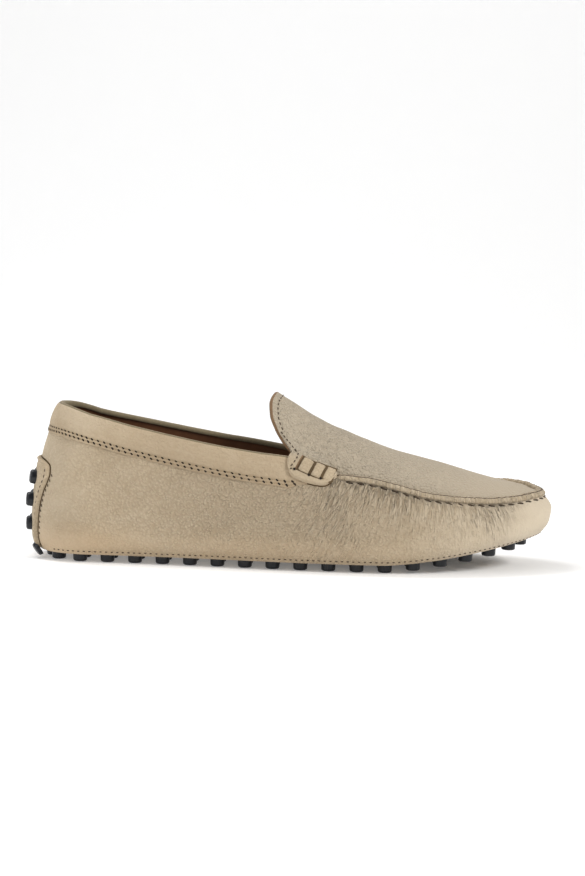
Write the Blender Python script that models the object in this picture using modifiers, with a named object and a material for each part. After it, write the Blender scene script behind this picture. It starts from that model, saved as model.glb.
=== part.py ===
"""Driving moccasin, right shoe: a soft leather shell on a leather bottom with rubber pebbles.

Run with: blender --background --python part.py
Metres, +Z up. The toe points along +X and +Y is the inner (medial) side of the foot.
The shoe is built with its heel at X = 0 on the floor Z = 0, and then centred on the origin.
"""

import math
from bisect import bisect_right

import bmesh
import bpy
import numpy as np
from mathutils import Matrix, Vector
from mathutils.geometry import delaunay_2d_cdt

# Driving dimensions
LENGTH = 0.2865
BALL_WIDTH = 0.100
HEEL_HEIGHT = 0.086
INSTEP_RISE = 0.033
TOE_SPRING = 0.0153
TOE_SWING = 0.007
WALL = 0.0020
GAP = 0.0003

# Collar band: a step in the wall
BAND_DEPTH = 0.0165
BAND_STEP = 0.0009
RIM_ROUND = 0.0012

# Raised apron seam: a ridge on the wall
RIDGE_HEIGHT = 0.0028
RIDGE_WIDTH = 0.0026
RIDGE_FOOT = 0.0024

# Bottom
SOLE_THICKNESS = 0.0016
SHEET_THICKNESS = 0.0014
INSOLE_THICKNESS = 0.0024
PEBBLE_HEIGHT = 0.0045
PEBBLE_RADIUS = 0.0037
PEBBLE_TIP_RADIUS = 0.0034
PEBBLE_SIDES = 8
PEBBLE_PITCH = 0.0150
PEBBLE_ROW_PITCH = 0.0142
PEBBLE_MARGIN = 0.0019
PEBBLE_START_SHARE = 0.414
PEBBLE_CLEAR = 0.74

# Heel tab and its pebbles
TAB_THICKNESS = 0.0013
TAB_HALF_WIDTH = 0.0238
HEEL_PEBBLE_RADIUS = 0.0041
HEEL_PEBBLE_HEIGHT = 0.0040
HEEL_PEBBLE_BEVEL = 0.0009
HEEL_PEBBLE_SIDES = 10

# Corner wings and the lace bars on them
WING_THICKNESS = 0.0012
WING_DEPTH = 0.0085
BAR_WIDTH = 0.0054
BAR_LENGTH = 0.0064
BAR_THICKNESS = 0.0016
BAR_BEVEL = 0.0005
BAR_PITCH = 0.0063
BAR_SEAT = 0.0006

# How fine the shell is cut
COLLAR_STEPS = 17
APRON_STEPS = 19
ACROSS = (-1.0, -0.88, -0.7, -0.46, -0.2, 0.0, 0.2, 0.46, 0.7, 0.88, 1.0)

LATERAL = -1
MEDIAL = 1

# Half the stretch over which a direction on the shell is measured, along it and in levels
REACH = 0.0015
LEVEL_REACH = 0.02

# Shares of LENGTH
HEEL_ROUND = 0.115
TOE_ROUND = 0.30
THROAT_SHARE = 0.497
RIDGE_START_SHARE = 0.545
RIDGE_FULL_SHARE = 0.590
HEEL_LEAN_END = 0.14
BAND_END_SHARES = (0.505, 0.530)
SPRING_START = 0.675
THROAT_FADE = 0.15

# Exponents of the curves
SPRING_POWER = 1.38
LEAN_POWER = 1.6
HEEL_LEAN_POWER = 2.35
TOE_POWER = 2.3
TOE_ROOT = 2.1
ARCH_POWER = 2.2
ARCH_ROOT = 0.82

# A row for each section: share of LENGTH from the heel; half widths and how far the top leans in, as
# shares of BALL_WIDTH; top heights and the height of the widest place, as shares of HEEL_HEIGHT; how
# far the wall tucks under, as a share of BALL_WIDTH.
SECTION_COLUMNS = (
    "share", "width_out", "width_in", "lean_out", "lean_in", "top_out", "top_in", "bulge", "tuck",
)
SECTIONS = (
    (0.000, 0.335, 0.335, 0.138, 0.138, 1.000, 1.000, 0.198, 0.045),
    (0.040, 0.335, 0.335, 0.124, 0.124, 0.988, 0.988, 0.198, 0.050),
    (0.080, 0.336, 0.334, 0.110, 0.108, 0.965, 0.965, 0.198, 0.055),
    (0.130, 0.340, 0.333, 0.094, 0.090, 0.928, 0.928, 0.198, 0.060),
    (0.200, 0.350, 0.333, 0.078, 0.072, 0.875, 0.875, 0.198, 0.062),
    (0.360, 0.396, 0.342, 0.070, 0.062, 0.779, 0.779, 0.198, 0.065),
    (0.430, 0.424, 0.356, 0.080, 0.070, 0.745, 0.745, 0.198, 0.065),
    (0.497, 0.450, 0.378, 0.100, 0.088, 0.709, 0.709, 0.200, 0.066),
    (0.540, 0.464, 0.400, 0.114, 0.104, 0.645, 0.647, 0.202, 0.068),
    (0.585, 0.478, 0.426, 0.128, 0.120, 0.592, 0.602, 0.204, 0.070),
    (0.640, 0.492, 0.458, 0.138, 0.130, 0.572, 0.588, 0.207, 0.072),
    (0.700, 0.500, 0.485, 0.144, 0.138, 0.530, 0.556, 0.212, 0.074),
    (0.766, 0.496, 0.500, 0.140, 0.138, 0.480, 0.517, 0.224, 0.076),
    (0.850, 0.474, 0.492, 0.124, 0.126, 0.452, 0.498, 0.255, 0.084),
    (0.900, 0.456, 0.478, 0.108, 0.110, 0.446, 0.500, 0.284, 0.092),
    (0.940, 0.440, 0.462, 0.092, 0.094, 0.453, 0.514, 0.314, 0.100),
    (0.970, 0.428, 0.450, 0.076, 0.078, 0.466, 0.508, 0.345, 0.106),
    (1.000, 0.420, 0.440, 0.060, 0.060, 0.480, 0.480, 0.384, 0.110),
)

# Centre line of the apron: share of LENGTH, and its height over the seams as a share of INSTEP_RISE
APRON_CENTRE = (
    (0.450, 0.965), (0.4625, 0.957), (0.480, 0.890), (0.511, 0.800), (0.552, 0.755), (0.590, 0.700),
    (0.629, 0.590), (0.667, 0.510), (0.706, 0.470), (0.745, 0.457), (0.784, 0.420), (0.822, 0.355),
    (0.860, 0.270), (0.899, 0.180), (0.937, 0.075), (0.965, 0.015), (1.000, 0.000),
)

# Throat edge: place across the apron, and how far the edge lies behind its corners, in LENGTH
THROAT_EDGE = (
    (0.0, 0.0362), (0.12, 0.0368), (0.28, 0.0405), (0.48, 0.0443), (0.66, 0.0425), (0.82, 0.0322),
    (0.93, 0.0171), (1.0, 0.0),
)

# Heel tab from its foot to its top: height as a share of HEEL_HEIGHT, half width of TAB_HALF_WIDTH
HEEL_TAB = (
    (0.075, 0.64), (0.110, 0.64), (0.174, 0.645), (0.264, 0.67), (0.350, 0.72), (0.430, 0.82),
    (0.503, 0.95), (0.551, 1.00), (0.595, 0.97), (0.624, 0.76), (0.638, 0.40),
)
TAB_COLUMNS = 8

# Heel pebbles: height as a share of HEEL_HEIGHT, distance to each side of the middle of the heel
HEEL_PEBBLES = ((0.512, 0.0092), (0.368, 0.0076), (0.215, 0.0062), (0.078, 0.0115))

# Corner wing: share of LENGTH, and how far it hangs down the wall, in WING_DEPTH
WING = (
    (0.4865, 0.24), (0.489, 0.50), (0.494, 0.85), (0.503, 1.00), (0.516, 0.98), (0.533, 0.83),
    (0.548, 0.70), (0.558, 0.56), (0.567, 0.34), (0.578, 0.16),
)
WING_ROWS = 4
BAR_MIDDLE_SHARE = 0.546
BAR_DROP = 0.0036
WING_TOP = 0.0022

LEATHER = ("sand_nubuck", (0.515, 0.402, 0.262), 0.85)
LINING = ("brown_lining", (0.120, 0.052, 0.020), 0.60)
RUBBER = ("black_rubber", (0.012, 0.013, 0.016), 0.45)


def read(rows, share, column=1):
    """The value of a table's column at a share, on a smooth curve that never overshoots its rows."""
    at = [row[0] for row in rows]
    values = [row[column] for row in rows]
    share = min(max(share, at[0]), at[-1])
    i = min(max(bisect_right(at, share) - 1, 0), len(at) - 2)
    slopes = [(values[k + 1] - values[k]) / (at[k + 1] - at[k]) for k in range(len(at) - 1)]

    def tangent(k):
        if k == 0 or k == len(at) - 1:
            return slopes[min(k, len(slopes) - 1)]
        before, after = slopes[k - 1], slopes[k]
        return 0.0 if before * after <= 0 else 2 * before * after / (before + after)

    step = at[i + 1] - at[i]
    f = (share - at[i]) / step
    return (
        values[i] * (1 + 2 * f) * (1 - f) ** 2
        + tangent(i) * step * f * (1 - f) ** 2
        + values[i + 1] * f * f * (3 - 2 * f)
        + tangent(i + 1) * step * f * f * (f - 1)
    )


def section(name, share):
    return read(SECTIONS, share, SECTION_COLUMNS.index(name))


def ease(low, high, value):
    """0 below low, 1 above high, and smooth between."""
    f = min(max((value - low) / (high - low), 0.0), 1.0)
    return f * f * (3 - 2 * f)


def suffix(side):
    return "_out" if side == LATERAL else "_in"


def ground(x):
    """Height of the leather's underside: flat from the heel to the ball, then the toe spring."""
    rise = max((x / LENGTH - SPRING_START) / (1 - SPRING_START), 0.0)
    return PEBBLE_HEIGHT + TOE_SPRING * rise ** SPRING_POWER


def side_outline(side, share):
    """Plan of one side at the shoe's widest level."""
    heel = min(share / HEEL_ROUND, 1.0)
    toe = min(max((share - 1 + TOE_ROUND) / TOE_ROUND, 0.0), 1.0)
    ends = math.sqrt(1 - (1 - heel) ** 2) * (1 - toe ** TOE_POWER) ** (1 / TOE_ROOT)
    width = section("width" + suffix(side), share) * BALL_WIDTH
    return np.array((share * LENGTH, side * width * ends + TOE_SWING * ease(0.5, 1.0, share)))


def arc_table(steps=1500):
    """Shares of LENGTH against the distance run along the middle of the two sides."""
    shares = [(1 - math.cos(math.pi * k / steps)) / 2 for k in range(steps + 1)]
    lateral = np.array([side_outline(LATERAL, s) for s in shares])
    medial = np.array([side_outline(MEDIAL, s) for s in shares])
    points = np.stack((lateral[:, 0], (medial[:, 1] - lateral[:, 1]) / 2), axis=1)
    runs = np.concatenate(([0.0], np.cumsum(np.linalg.norm(np.diff(points, axis=0), axis=1))))
    return runs, np.array(shares)


ARC_RUNS, ARC_SHARES = arc_table()
HALF_GIRTH = float(ARC_RUNS[-1])


def share_at(run):
    return float(np.interp(abs(run), ARC_RUNS, ARC_SHARES))


def run_at(share):
    return float(np.interp(share, ARC_SHARES, ARC_RUNS))


def side_of(run):
    return LATERAL if run < 0 else MEDIAL


def folded(run):
    """Keeps a place on the girth between the two sides of the toe."""
    if run > HALF_GIRTH:
        return run - 2 * HALF_GIRTH
    if run < -HALF_GIRTH:
        return run + 2 * HALF_GIRTH
    return run


def outline(run):
    """Plan point at a signed distance from the middle of the heel, lateral side negative."""
    run = folded(run)
    return side_outline(side_of(run), share_at(run))


def outward(run):
    """Plan direction that points out of the shoe."""
    along = outline(run + REACH) - outline(run - REACH)
    along /= np.linalg.norm(along)
    return np.array((-along[1], along[0]))


def wall_height(run):
    share = share_at(run)
    top = section("top" + suffix(side_of(run)), share)
    return (top - section("bulge", share)) * HEEL_HEIGHT


def lean_power(share):
    """The back of the heel stays upright for longer before it leans in than the sides do."""
    return HEEL_LEAN_POWER + (LEAN_POWER - HEEL_LEAN_POWER) * ease(0.0, HEEL_LEAN_END, share)


def wall(run, level):
    """A point of the shell: level 1 is its top, 0 its widest place and -1 where it turns under."""
    run = folded(run)
    share = share_at(run)
    ending = suffix(side_of(run))
    bulge = section("bulge", share) * HEEL_HEIGHT
    normal = outward(run)
    tuck = section("tuck", share) * BALL_WIDTH
    if level >= 0:
        inset = section("lean" + ending, share) * BALL_WIDTH * level ** lean_power(share)
        height = bulge + level * wall_height(run)
    else:
        turn = -level * math.pi / 2
        inset = tuck * (1 - math.cos(turn))
        foot = outline(run) - normal * tuck
        height = bulge - (bulge - ground(foot[0])) * math.sin(turn)
    flat = outline(run) - normal * inset
    return np.array((flat[0], flat[1], height))


def unit(vector):
    return vector / np.linalg.norm(vector)


def wall_normal(run, level):
    up = wall(run, min(level + LEVEL_REACH, 1.0)) - wall(run, max(level - LEVEL_REACH, -1.0))
    along = wall(run + REACH, level) - wall(run - REACH, level)
    return unit(np.cross(up, along))


def band_lift(run):
    """How far the collar band stands proud of the wall under it."""
    return BAND_STEP * (1 - ease(*BAND_END_SHARES, share_at(run)))


def band_level(run):
    return max(1 - BAND_DEPTH / wall_height(run), 0.2)


def skin(run, level, lift=0.0):
    """A point of the outside with the band on it, lifted by a distance."""
    over = band_lift(run) if level > band_level(run) else 0.0
    return wall(run, level) + wall_normal(run, level) * (over + lift)


def level_of(run, height):
    """The level of the shell at a height over the floor."""
    bulge = section("bulge", share_at(run)) * HEEL_HEIGHT
    if height >= bulge:
        return (height - bulge) / wall_height(run)
    low = wall(run, -1.0)[2]
    return -math.asin(min((bulge - height) / (bulge - low), 1.0)) / (math.pi / 2)


def apron_edge(run):
    """Foot of the raised seam on the apron's side."""
    seam = wall(run, 1.0)
    inwards = -outward(run) * RIDGE_FOOT
    return seam + np.array((inwards[0], inwards[1], RIDGE_FOOT * 0.15))


def seam_mean(share):
    return (section("top_out", share) + section("top_in", share)) / 2 * HEEL_HEIGHT


def apron(run, across):
    """A point of the apron on the line between the two sides at a distance from the heel."""
    lateral, medial = apron_edge(-run), apron_edge(run)
    middle, half = (lateral + medial) / 2, (medial - lateral) / 2
    fade = max(1 - (share_at(run) - THROAT_SHARE) / THROAT_FADE, 0.0) ** 2
    centre_share = middle[0] / LENGTH - read(THROAT_EDGE, 0.0) * fade
    height = seam_mean(centre_share) + read(APRON_CENTRE, centre_share) * INSTEP_RISE
    arch = (1 - abs(across) ** ARCH_POWER) ** ARCH_ROOT
    point = middle + half * across
    point[0] -= read(THROAT_EDGE, abs(across)) * LENGTH * fade
    point[2] += max(height - middle[2], 0.0) * arch
    return point


def seam_direction(run):
    """The way that the raised seam stands, between the wall's normal and the apron's."""
    seam = wall(run, 1.0)
    edge = apron_edge(run)
    along = wall(run + REACH, 1.0) - wall(run - REACH, 1.0)
    over = unit(np.cross(edge - seam, along))
    if over[2] < 0:
        over = -over
    return unit(wall_normal(run, 1.0) + over)


def ridge_share(run):
    return ease(RIDGE_START_SHARE, RIDGE_FULL_SHARE, share_at(run))


def outer_column(run):
    """The outside of the shell from its turned under edge to its rim or ridge."""
    height = wall_height(run)
    band = band_level(run)
    front = ridge_share(run)
    edge = band + (BAND_STEP * (1 - front) + 0.3 * BAND_DEPTH * front) / height
    foot = 1 - RIDGE_FOOT / height
    column = [skin(run, level) for level in (-1.0, -0.72, -0.38, 0.0, band * 0.35, band * 0.7, band)]
    column += [skin(run, edge), skin(run, (edge + foot) / 2), skin(run, foot)]
    top = wall(run, 1.0)
    normal = wall_normal(run, 1.0)
    rim_out = wall(run, 1 - 0.8 * RIM_ROUND / height) + normal * BAND_STEP * 0.6
    rim_in = top - normal * 1.2 * RIM_ROUND
    stand = seam_direction(run)
    sideways = unit(np.cross(stand, wall(run + REACH, 1.0) - wall(run - REACH, 1.0)))
    if np.dot(sideways[:2], outward(run)) < 0:
        sideways = -sideways
    ridge_out = top + stand * RIDGE_HEIGHT + sideways * RIDGE_WIDTH / 2
    ridge_in = top + stand * RIDGE_HEIGHT - sideways * RIDGE_WIDTH / 2
    column.append(rim_out * (1 - front) + ridge_out * front)
    column.append(rim_in * (1 - front) + ridge_in * front)
    return column


def inner_column(run):
    """The inside of the shell, a wall's thickness in."""
    height = wall_height(run)
    front = ridge_share(run)
    levels = (-1.0, -0.6, 0.0, 0.4, 0.75)
    column = [wall(run, level) - wall_normal(run, level) * WALL for level in levels]
    column[0] = wall(run, -1.0) + np.array((0, 0, WALL))
    rim = wall(run, 1 - 1.6 * RIM_ROUND / height) - wall_normal(run, 1.0) * (WALL + BAND_STEP)
    seam = wall(run, 1.0) - seam_direction(run) * WALL
    column.append(rim * (1 - front) + seam * front)
    return column


def stations():
    """Distances from the heel to the toe, with one on the throat's corner."""
    throat = run_at(THROAT_SHARE)
    rear = [throat * k / COLLAR_STEPS for k in range(COLLAR_STEPS)]
    front = [throat + (HALF_GIRTH - throat) * k / APRON_STEPS for k in range(APRON_STEPS + 1)]
    return rear + front


STATIONS = stations()


def ring_runs():
    """Signed distances once around the shoe, from the toe by the lateral side and back."""
    lateral = [-run for run in reversed(STATIONS[1:])]
    return lateral + STATIONS[:-1]


def face_of(bm, verts):
    """A face through the vertices that differ, or none where fewer than three do."""
    distinct = []
    for vert in verts:
        if vert not in distinct:
            distinct.append(vert)
    if len(distinct) > 2:
        bm.faces.new(distinct)


def grid_faces(bm, grid, closed=False):
    """Quads between neighbouring rows of a grid of vertices."""
    rows = len(grid) if closed else len(grid) - 1
    for i in range(rows):
        here, there = grid[i], grid[(i + 1) % len(grid)]
        for k in range(len(here) - 1):
            face_of(bm, (here[k], there[k], there[k + 1], here[k + 1]))


def new_verts(bm, points):
    return [bm.verts.new(tuple(point)) for point in points]


def apron_rows(bm, tops, depth):
    """Rows of vertices over the apron, from the throat to the toe, a depth under its outside."""
    runs = STATIONS[COLLAR_STEPS:]
    points = [[apron(run, across) for across in ACROSS] for run in runs[:-1]]
    tip = apron_edge(HALF_GIRTH)
    grid = np.array(points + [[tip] * len(ACROSS)])
    rows = []
    for i, run in enumerate(runs):
        lateral, medial = tops[-run], tops[run]
        if i == len(runs) - 1:
            lowered = bm.verts.new(tuple(tip - np.array((0, 0, depth))))
            rows.append([lateral] + [lowered] * len(ACROSS) + [medial])
            continue
        row = []
        for k in range(len(ACROSS)):
            along = grid[i + 1][k] - grid[max(i - 1, 0)][k]
            over = grid[i][min(k + 1, len(ACROSS) - 1)] - grid[i][max(k - 1, 0)]
            row.append(grid[i][k] - unit(np.cross(along, over)) * depth)
        rows.append([lateral] + new_verts(bm, row) + [medial])
    return rows


def shell_mesh():
    """The upper's closed surface: outside, inside, and the rims between them."""
    bm = bmesh.new()
    runs = ring_runs()
    outer = [new_verts(bm, outer_column(run)) for run in runs]
    inner = [new_verts(bm, inner_column(run)) for run in runs]
    grid_faces(bm, outer, closed=True)
    grid_faces(bm, inner, closed=True)
    for i in range(len(runs)):
        j = (i + 1) % len(runs)
        face_of(bm, (outer[i][0], outer[j][0], inner[j][0], inner[i][0]))
        throat = STATIONS[COLLAR_STEPS]
        if abs(runs[i]) <= throat and abs(runs[j]) <= throat:
            face_of(bm, (outer[i][-1], outer[j][-1], inner[j][-1], inner[i][-1]))
    outer_tops = {run: column[-1] for run, column in zip(runs, outer)}
    inner_tops = {run: column[-1] for run, column in zip(runs, inner)}
    outer_tops[HALF_GIRTH] = outer_tops[-HALF_GIRTH]
    inner_tops[HALF_GIRTH] = inner_tops[-HALF_GIRTH]
    over = apron_rows(bm, outer_tops, 0.0)
    under = apron_rows(bm, inner_tops, WALL)
    grid_faces(bm, over)
    grid_faces(bm, under)
    grid_faces(bm, [over[0], under[0]])
    return bm


def bottom_ring(inset):
    """Plan points of the bottom's edge, moved in by a distance."""
    ring = []
    for run in ring_runs():
        tuck = section("tuck", share_at(run)) * BALL_WIDTH
        ring.append(outline(run) - outward(run) * (tuck + inset))
    return ring


def ladder_faces(bm, ring):
    """Quads straight across between the two sides of a closed ring of vertices."""
    count = len(ring)
    for i in range(count // 2):
        face_of(bm, (ring[i], ring[i + 1], ring[(count - i - 1) % count], ring[(count - i) % count]))


def ring_walls(bm, low, high):
    for i in range(len(low)):
        j = (i + 1) % len(low)
        face_of(bm, (low[i], low[j], high[j], high[i]))


def crossings(loop, x):
    """Where a closed loop crosses a line at right angles to the shoe's length, lateral side first."""
    found = []
    for a, b in zip(loop, np.roll(loop, -1, axis=0)):
        if (a[0] > x) != (b[0] > x):
            found.append(float(a[1] + (x - a[0]) / (b[0] - a[0]) * (b[1] - a[1])))
    return sorted(found)


def pebble_places():
    """Plan centres of the pebbles: one row along the edge, and straight rows across inside it."""
    loop = np.array(bottom_ring(GAP + PEBBLE_MARGIN + PEBBLE_RADIUS))
    closed = np.vstack((loop, loop[:1]))
    runs = np.concatenate(([0.0], np.cumsum(np.linalg.norm(np.diff(closed, axis=0), axis=1))))
    count = round(runs[-1] / PEBBLE_PITCH)
    lateral = [i for i, run in enumerate(ring_runs()) if run < 0]
    start_x = PEBBLE_START_SHARE * LENGTH
    start = float(np.interp(-start_x, [-loop[i][0] for i in lateral], [runs[i] for i in lateral]))
    places = []
    for k in range(count):
        run = (start + runs[-1] * k / count) % runs[-1]
        places.append((float(np.interp(run, runs, closed[:, 0])), float(np.interp(run, runs, closed[:, 1]))))
    edge = list(places)
    rows = math.ceil(LENGTH / PEBBLE_PITCH)
    for i in range(-rows, rows + 1):
        x = start_x + PEBBLE_PITCH * i
        sides = crossings(loop, x)
        if len(sides) != 2:
            continue
        parts = round((sides[1] - sides[0]) / PEBBLE_ROW_PITCH)
        for j in range(1, parts):
            place = (x, sides[0] + (sides[1] - sides[0]) * j / parts)
            if min(math.dist(place, p) for p in edge) > PEBBLE_CLEAR * PEBBLE_PITCH:
                places.append(place)
    return places


def circle(place, radius):
    turns = [2 * math.pi * (k + 0.5) / PEBBLE_SIDES for k in range(PEBBLE_SIDES)]
    return [(place[0] + radius * math.cos(a), place[1] + radius * math.sin(a)) for a in turns]


def pierced_sheet(bm, ring, places, radius, lift):
    """A flat sheet on the ground curve with a round hole at each place. Gives its edge and its holes."""
    plan = [tuple(point) for point in ring]
    outlines = [list(range(len(plan)))]
    for place in places:
        outlines.append(list(range(len(plan), len(plan) + PEBBLE_SIDES)))
        plan += circle(place, radius)
    faces = [outlines[0][::-1]] + outlines[1:]
    cut = delaunay_2d_cdt([Vector(p) for p in plan], [], faces, 1, 1e-7)
    verts = [bm.verts.new((p.x, p.y, ground(p.x) + lift)) for p in cut[0]]
    for face, origins in zip(cut[2], cut[5]):
        if list(origins) == [0]:
            bm.faces.new([verts[k] for k in face])
    found = {origin: vert for vert, origins in zip(verts, cut[3]) for origin in origins}
    loops = [[found[k] for k in loop] for loop in outlines]
    return loops[0], loops[1:]


def leather_sole_mesh(places):
    """The leather bottom: a plate inside the shell's turned edge, with a hole for each pebble."""
    bm = bmesh.new()
    hole = PEBBLE_RADIUS + GAP / math.cos(math.pi / PEBBLE_SIDES)
    pierced_sheet(bm, bottom_ring(GAP), places, hole, 0.0)
    bmesh.ops.recalc_face_normals(bm, faces=bm.faces)
    grown = bmesh.ops.extrude_face_region(bm, geom=bm.faces[:], use_keep_orig=True)
    raised = [item for item in grown["geom"] if isinstance(item, bmesh.types.BMVert)]
    bmesh.ops.translate(bm, verts=raised, vec=(0, 0, SOLE_THICKNESS))
    return bm


def pebble_sole_mesh(places):
    """The rubber sheet inside the bottom, with the pebbles that pass down through the leather."""
    bm = bmesh.new()
    ring = bottom_ring(GAP)
    lift = SOLE_THICKNESS + GAP
    edge, roots = pierced_sheet(bm, ring, places, PEBBLE_RADIUS, lift)
    for place, root in zip(places, roots):
        tip = circle(place, PEBBLE_TIP_RADIUS)
        lowered = [bm.verts.new((x, y, ground(x) - PEBBLE_HEIGHT)) for x, y in tip]
        ring_walls(bm, lowered, root)
        bm.faces.new(lowered)
    top = [bm.verts.new((p[0], p[1], ground(p[0]) + lift + SHEET_THICKNESS)) for p in ring]
    ring_walls(bm, edge, top)
    ladder_faces(bm, top)
    return bm


def insole_mesh():
    """The sock inside, on the rubber sheet."""
    bm = bmesh.new()
    low_lift = SOLE_THICKNESS + SHEET_THICKNESS + 2 * GAP
    ring = []
    for run in ring_runs():
        tuck = section("tuck", share_at(run)) * BALL_WIDTH
        ring.append(outline(run) - outward(run) * (0.6 * tuck + WALL * 0.7))
    low = [bm.verts.new((p[0], p[1], ground(p[0]) + low_lift)) for p in ring]
    high = [bm.verts.new((p[0], p[1], ground(p[0]) + low_lift + INSOLE_THICKNESS)) for p in ring]
    ladder_faces(bm, low)
    ladder_faces(bm, high)
    ring_walls(bm, low, high)
    return bm


def plate_mesh(places, thickness, lift):
    """A plate that lies on the outside of the shell, from a grid of its runs and levels."""
    bm = bmesh.new()
    low = [new_verts(bm, [skin(run, level, lift) for run, level in row]) for row in places]
    high = [new_verts(bm, [skin(run, level, lift + thickness) for run, level in row]) for row in places]
    grid_faces(bm, low)
    grid_faces(bm, high)
    grid_faces(bm, [low[0], high[0]])
    grid_faces(bm, [low[-1], high[-1]])
    grid_faces(bm, [[row[0] for row in low], [row[0] for row in high]])
    grid_faces(bm, [[row[-1] for row in low], [row[-1] for row in high]])
    return bm


def heel_tab_mesh():
    """The strip of leather up the back of the heel."""
    places = []
    for height, share in HEEL_TAB:
        half = TAB_HALF_WIDTH * share
        runs = [half * (2 * k / TAB_COLUMNS - 1) for k in range(TAB_COLUMNS + 1)]
        places.append([(run, level_of(run, height * HEEL_HEIGHT)) for run in runs])
    return plate_mesh(places, TAB_THICKNESS, GAP)


def wing_mesh(side):
    """The corner of the apron that lies over the wall beside the throat."""
    places = []
    for share, depth in WING:
        run = side * run_at(share)
        height = wall_height(run)
        top = 1 - WING_TOP / height
        low = 1 - (WING_TOP + WING_DEPTH * depth) / height
        places.append([(run, low + (top - low) * k / WING_ROWS) for k in range(WING_ROWS + 1)])
    return plate_mesh(places, WING_THICKNESS, GAP + BAND_STEP)


def material(spec):
    name, colour, roughness = spec
    if name in bpy.data.materials:
        return bpy.data.materials[name]
    made = bpy.data.materials.new(name)
    made.use_nodes = True
    shader = made.node_tree.nodes["Principled BSDF"]
    shader.inputs["Base Color"].default_value = (*colour, 1.0)
    shader.inputs["Roughness"].default_value = roughness
    shader.inputs["Metallic"].default_value = 0.0
    return made


def add_part(name, bm, spec, collection, root):
    """Puts a mesh into the scene as a named part."""
    bmesh.ops.recalc_face_normals(bm, faces=bm.faces)
    mesh = bpy.data.meshes.new(name)
    bm.to_mesh(mesh)
    bm.free()
    mesh.materials.append(material(spec))
    mesh.shade_smooth()
    mesh.set_sharp_from_angle(angle=math.radians(50))
    part = bpy.data.objects.new(name, mesh)
    collection.objects.link(part)
    part.parent = root
    return part


def stand_on(part, run, level, lift):
    """Places a part with its own Z along the outside's normal and its Y up the wall."""
    spot = skin(run, level, lift)
    normal = Vector(wall_normal(run, level))
    up = Vector(wall(run, min(level + LEVEL_REACH, 1.0)) - wall(run, level - LEVEL_REACH))
    up = (up - normal * up.dot(normal)).normalized()
    turn = Matrix((up.cross(normal), up, normal)).transposed()
    part.matrix_local = Matrix.Translation(Vector(spot)) @ turn.to_4x4()


def add_bevel(part, width, segments):
    bevel = part.modifiers.new("rounded", "BEVEL")
    bevel.width = width
    bevel.segments = segments
    bevel.limit_method = "ANGLE"
    bevel.angle_limit = math.radians(50)


def add_heel_pebbles(collection, root):
    """The pebbles on the heel tab, in pairs up the heel."""
    number = 0
    for height, away in HEEL_PEBBLES:
        for side in (LATERAL, MEDIAL):
            number += 1
            bm = bmesh.new()
            bmesh.ops.create_cone(
                bm, cap_ends=True, segments=HEEL_PEBBLE_SIDES, radius1=HEEL_PEBBLE_RADIUS,
                radius2=HEEL_PEBBLE_RADIUS, depth=HEEL_PEBBLE_HEIGHT,
            )
            part = add_part(f"heel_pebble_{number}", bm, RUBBER, collection, root)
            run = side * away
            lift = TAB_THICKNESS + 2 * GAP + HEEL_PEBBLE_HEIGHT / 2
            stand_on(part, run, level_of(run, height * HEEL_HEIGHT), lift)
            add_bevel(part, HEEL_PEBBLE_BEVEL, 1)


def add_lace_bars(collection, root):
    """The three flat lace bars that stand on each wing."""
    for side, word in ((LATERAL, "lateral"), (MEDIAL, "medial")):
        middle = run_at(BAR_MIDDLE_SHARE)
        for k in (-1, 0, 1):
            bm = bmesh.new()
            bmesh.ops.create_cube(bm, size=1.0)
            bmesh.ops.scale(bm, vec=(BAR_WIDTH, BAR_LENGTH, BAR_THICKNESS), verts=bm.verts)
            part = add_part(f"lace_bar_{word}_{k + 2}", bm, LEATHER, collection, root)
            run = side * (middle + k * BAR_PITCH)
            level = 1 - BAR_DROP / wall_height(run)
            lift = BAND_STEP + WING_THICKNESS + GAP + BAR_SEAT + BAR_THICKNESS / 2
            stand_on(part, run, level, lift)
            add_bevel(part, BAR_BEVEL, 1)


def centre_on_origin(root, collection):
    """Moves the shoe so that the origin is under the middle of its box."""
    bpy.context.view_layer.update()
    corners = np.array([
        tuple(part.matrix_world @ Vector(corner)) for part in collection.objects
        if part.type == "MESH" for corner in (vert.co for vert in part.data.vertices)
    ])
    middle = (corners.min(axis=0) + corners.max(axis=0)) / 2
    root.location = (-middle[0], -middle[1], 0.0)
    bpy.context.view_layer.update()


def main():
    for thing in list(bpy.data.objects):
        bpy.data.objects.remove(thing, do_unlink=True)
    collection = bpy.data.collections.new("driving_moccasin")
    bpy.context.scene.collection.children.link(collection)
    root = bpy.data.objects.new("shoe_root", None)
    collection.objects.link(root)
    places = pebble_places()
    add_part("upper", shell_mesh(), LEATHER, collection, root)
    add_part("leather_sole", leather_sole_mesh(places), LEATHER, collection, root)
    add_part("pebble_sole", pebble_sole_mesh(places), RUBBER, collection, root)
    add_part("insole", insole_mesh(), LINING, collection, root)
    add_part("heel_tab", heel_tab_mesh(), LEATHER, collection, root)
    add_part("wing_lateral", wing_mesh(LATERAL), LEATHER, collection, root)
    add_part("wing_medial", wing_mesh(MEDIAL), LEATHER, collection, root)
    add_heel_pebbles(collection, root)
    add_lace_bars(collection, root)
    centre_on_origin(root, collection)


main()
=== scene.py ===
"""Looks of the driving moccasin, right shoe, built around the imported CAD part.

Metres, +Z up, toe along +X, the outer (lateral) side towards -Y. The curves of the shoe are computed in
the CAD source's own coordinates, with the heel at X = 0, and moved into the frame when a mesh is made.
"""

import math

import bmesh
import bpy
import numpy as np
from mathutils import Matrix, Vector
from mathutils.geometry import delaunay_2d_cdt


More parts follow.
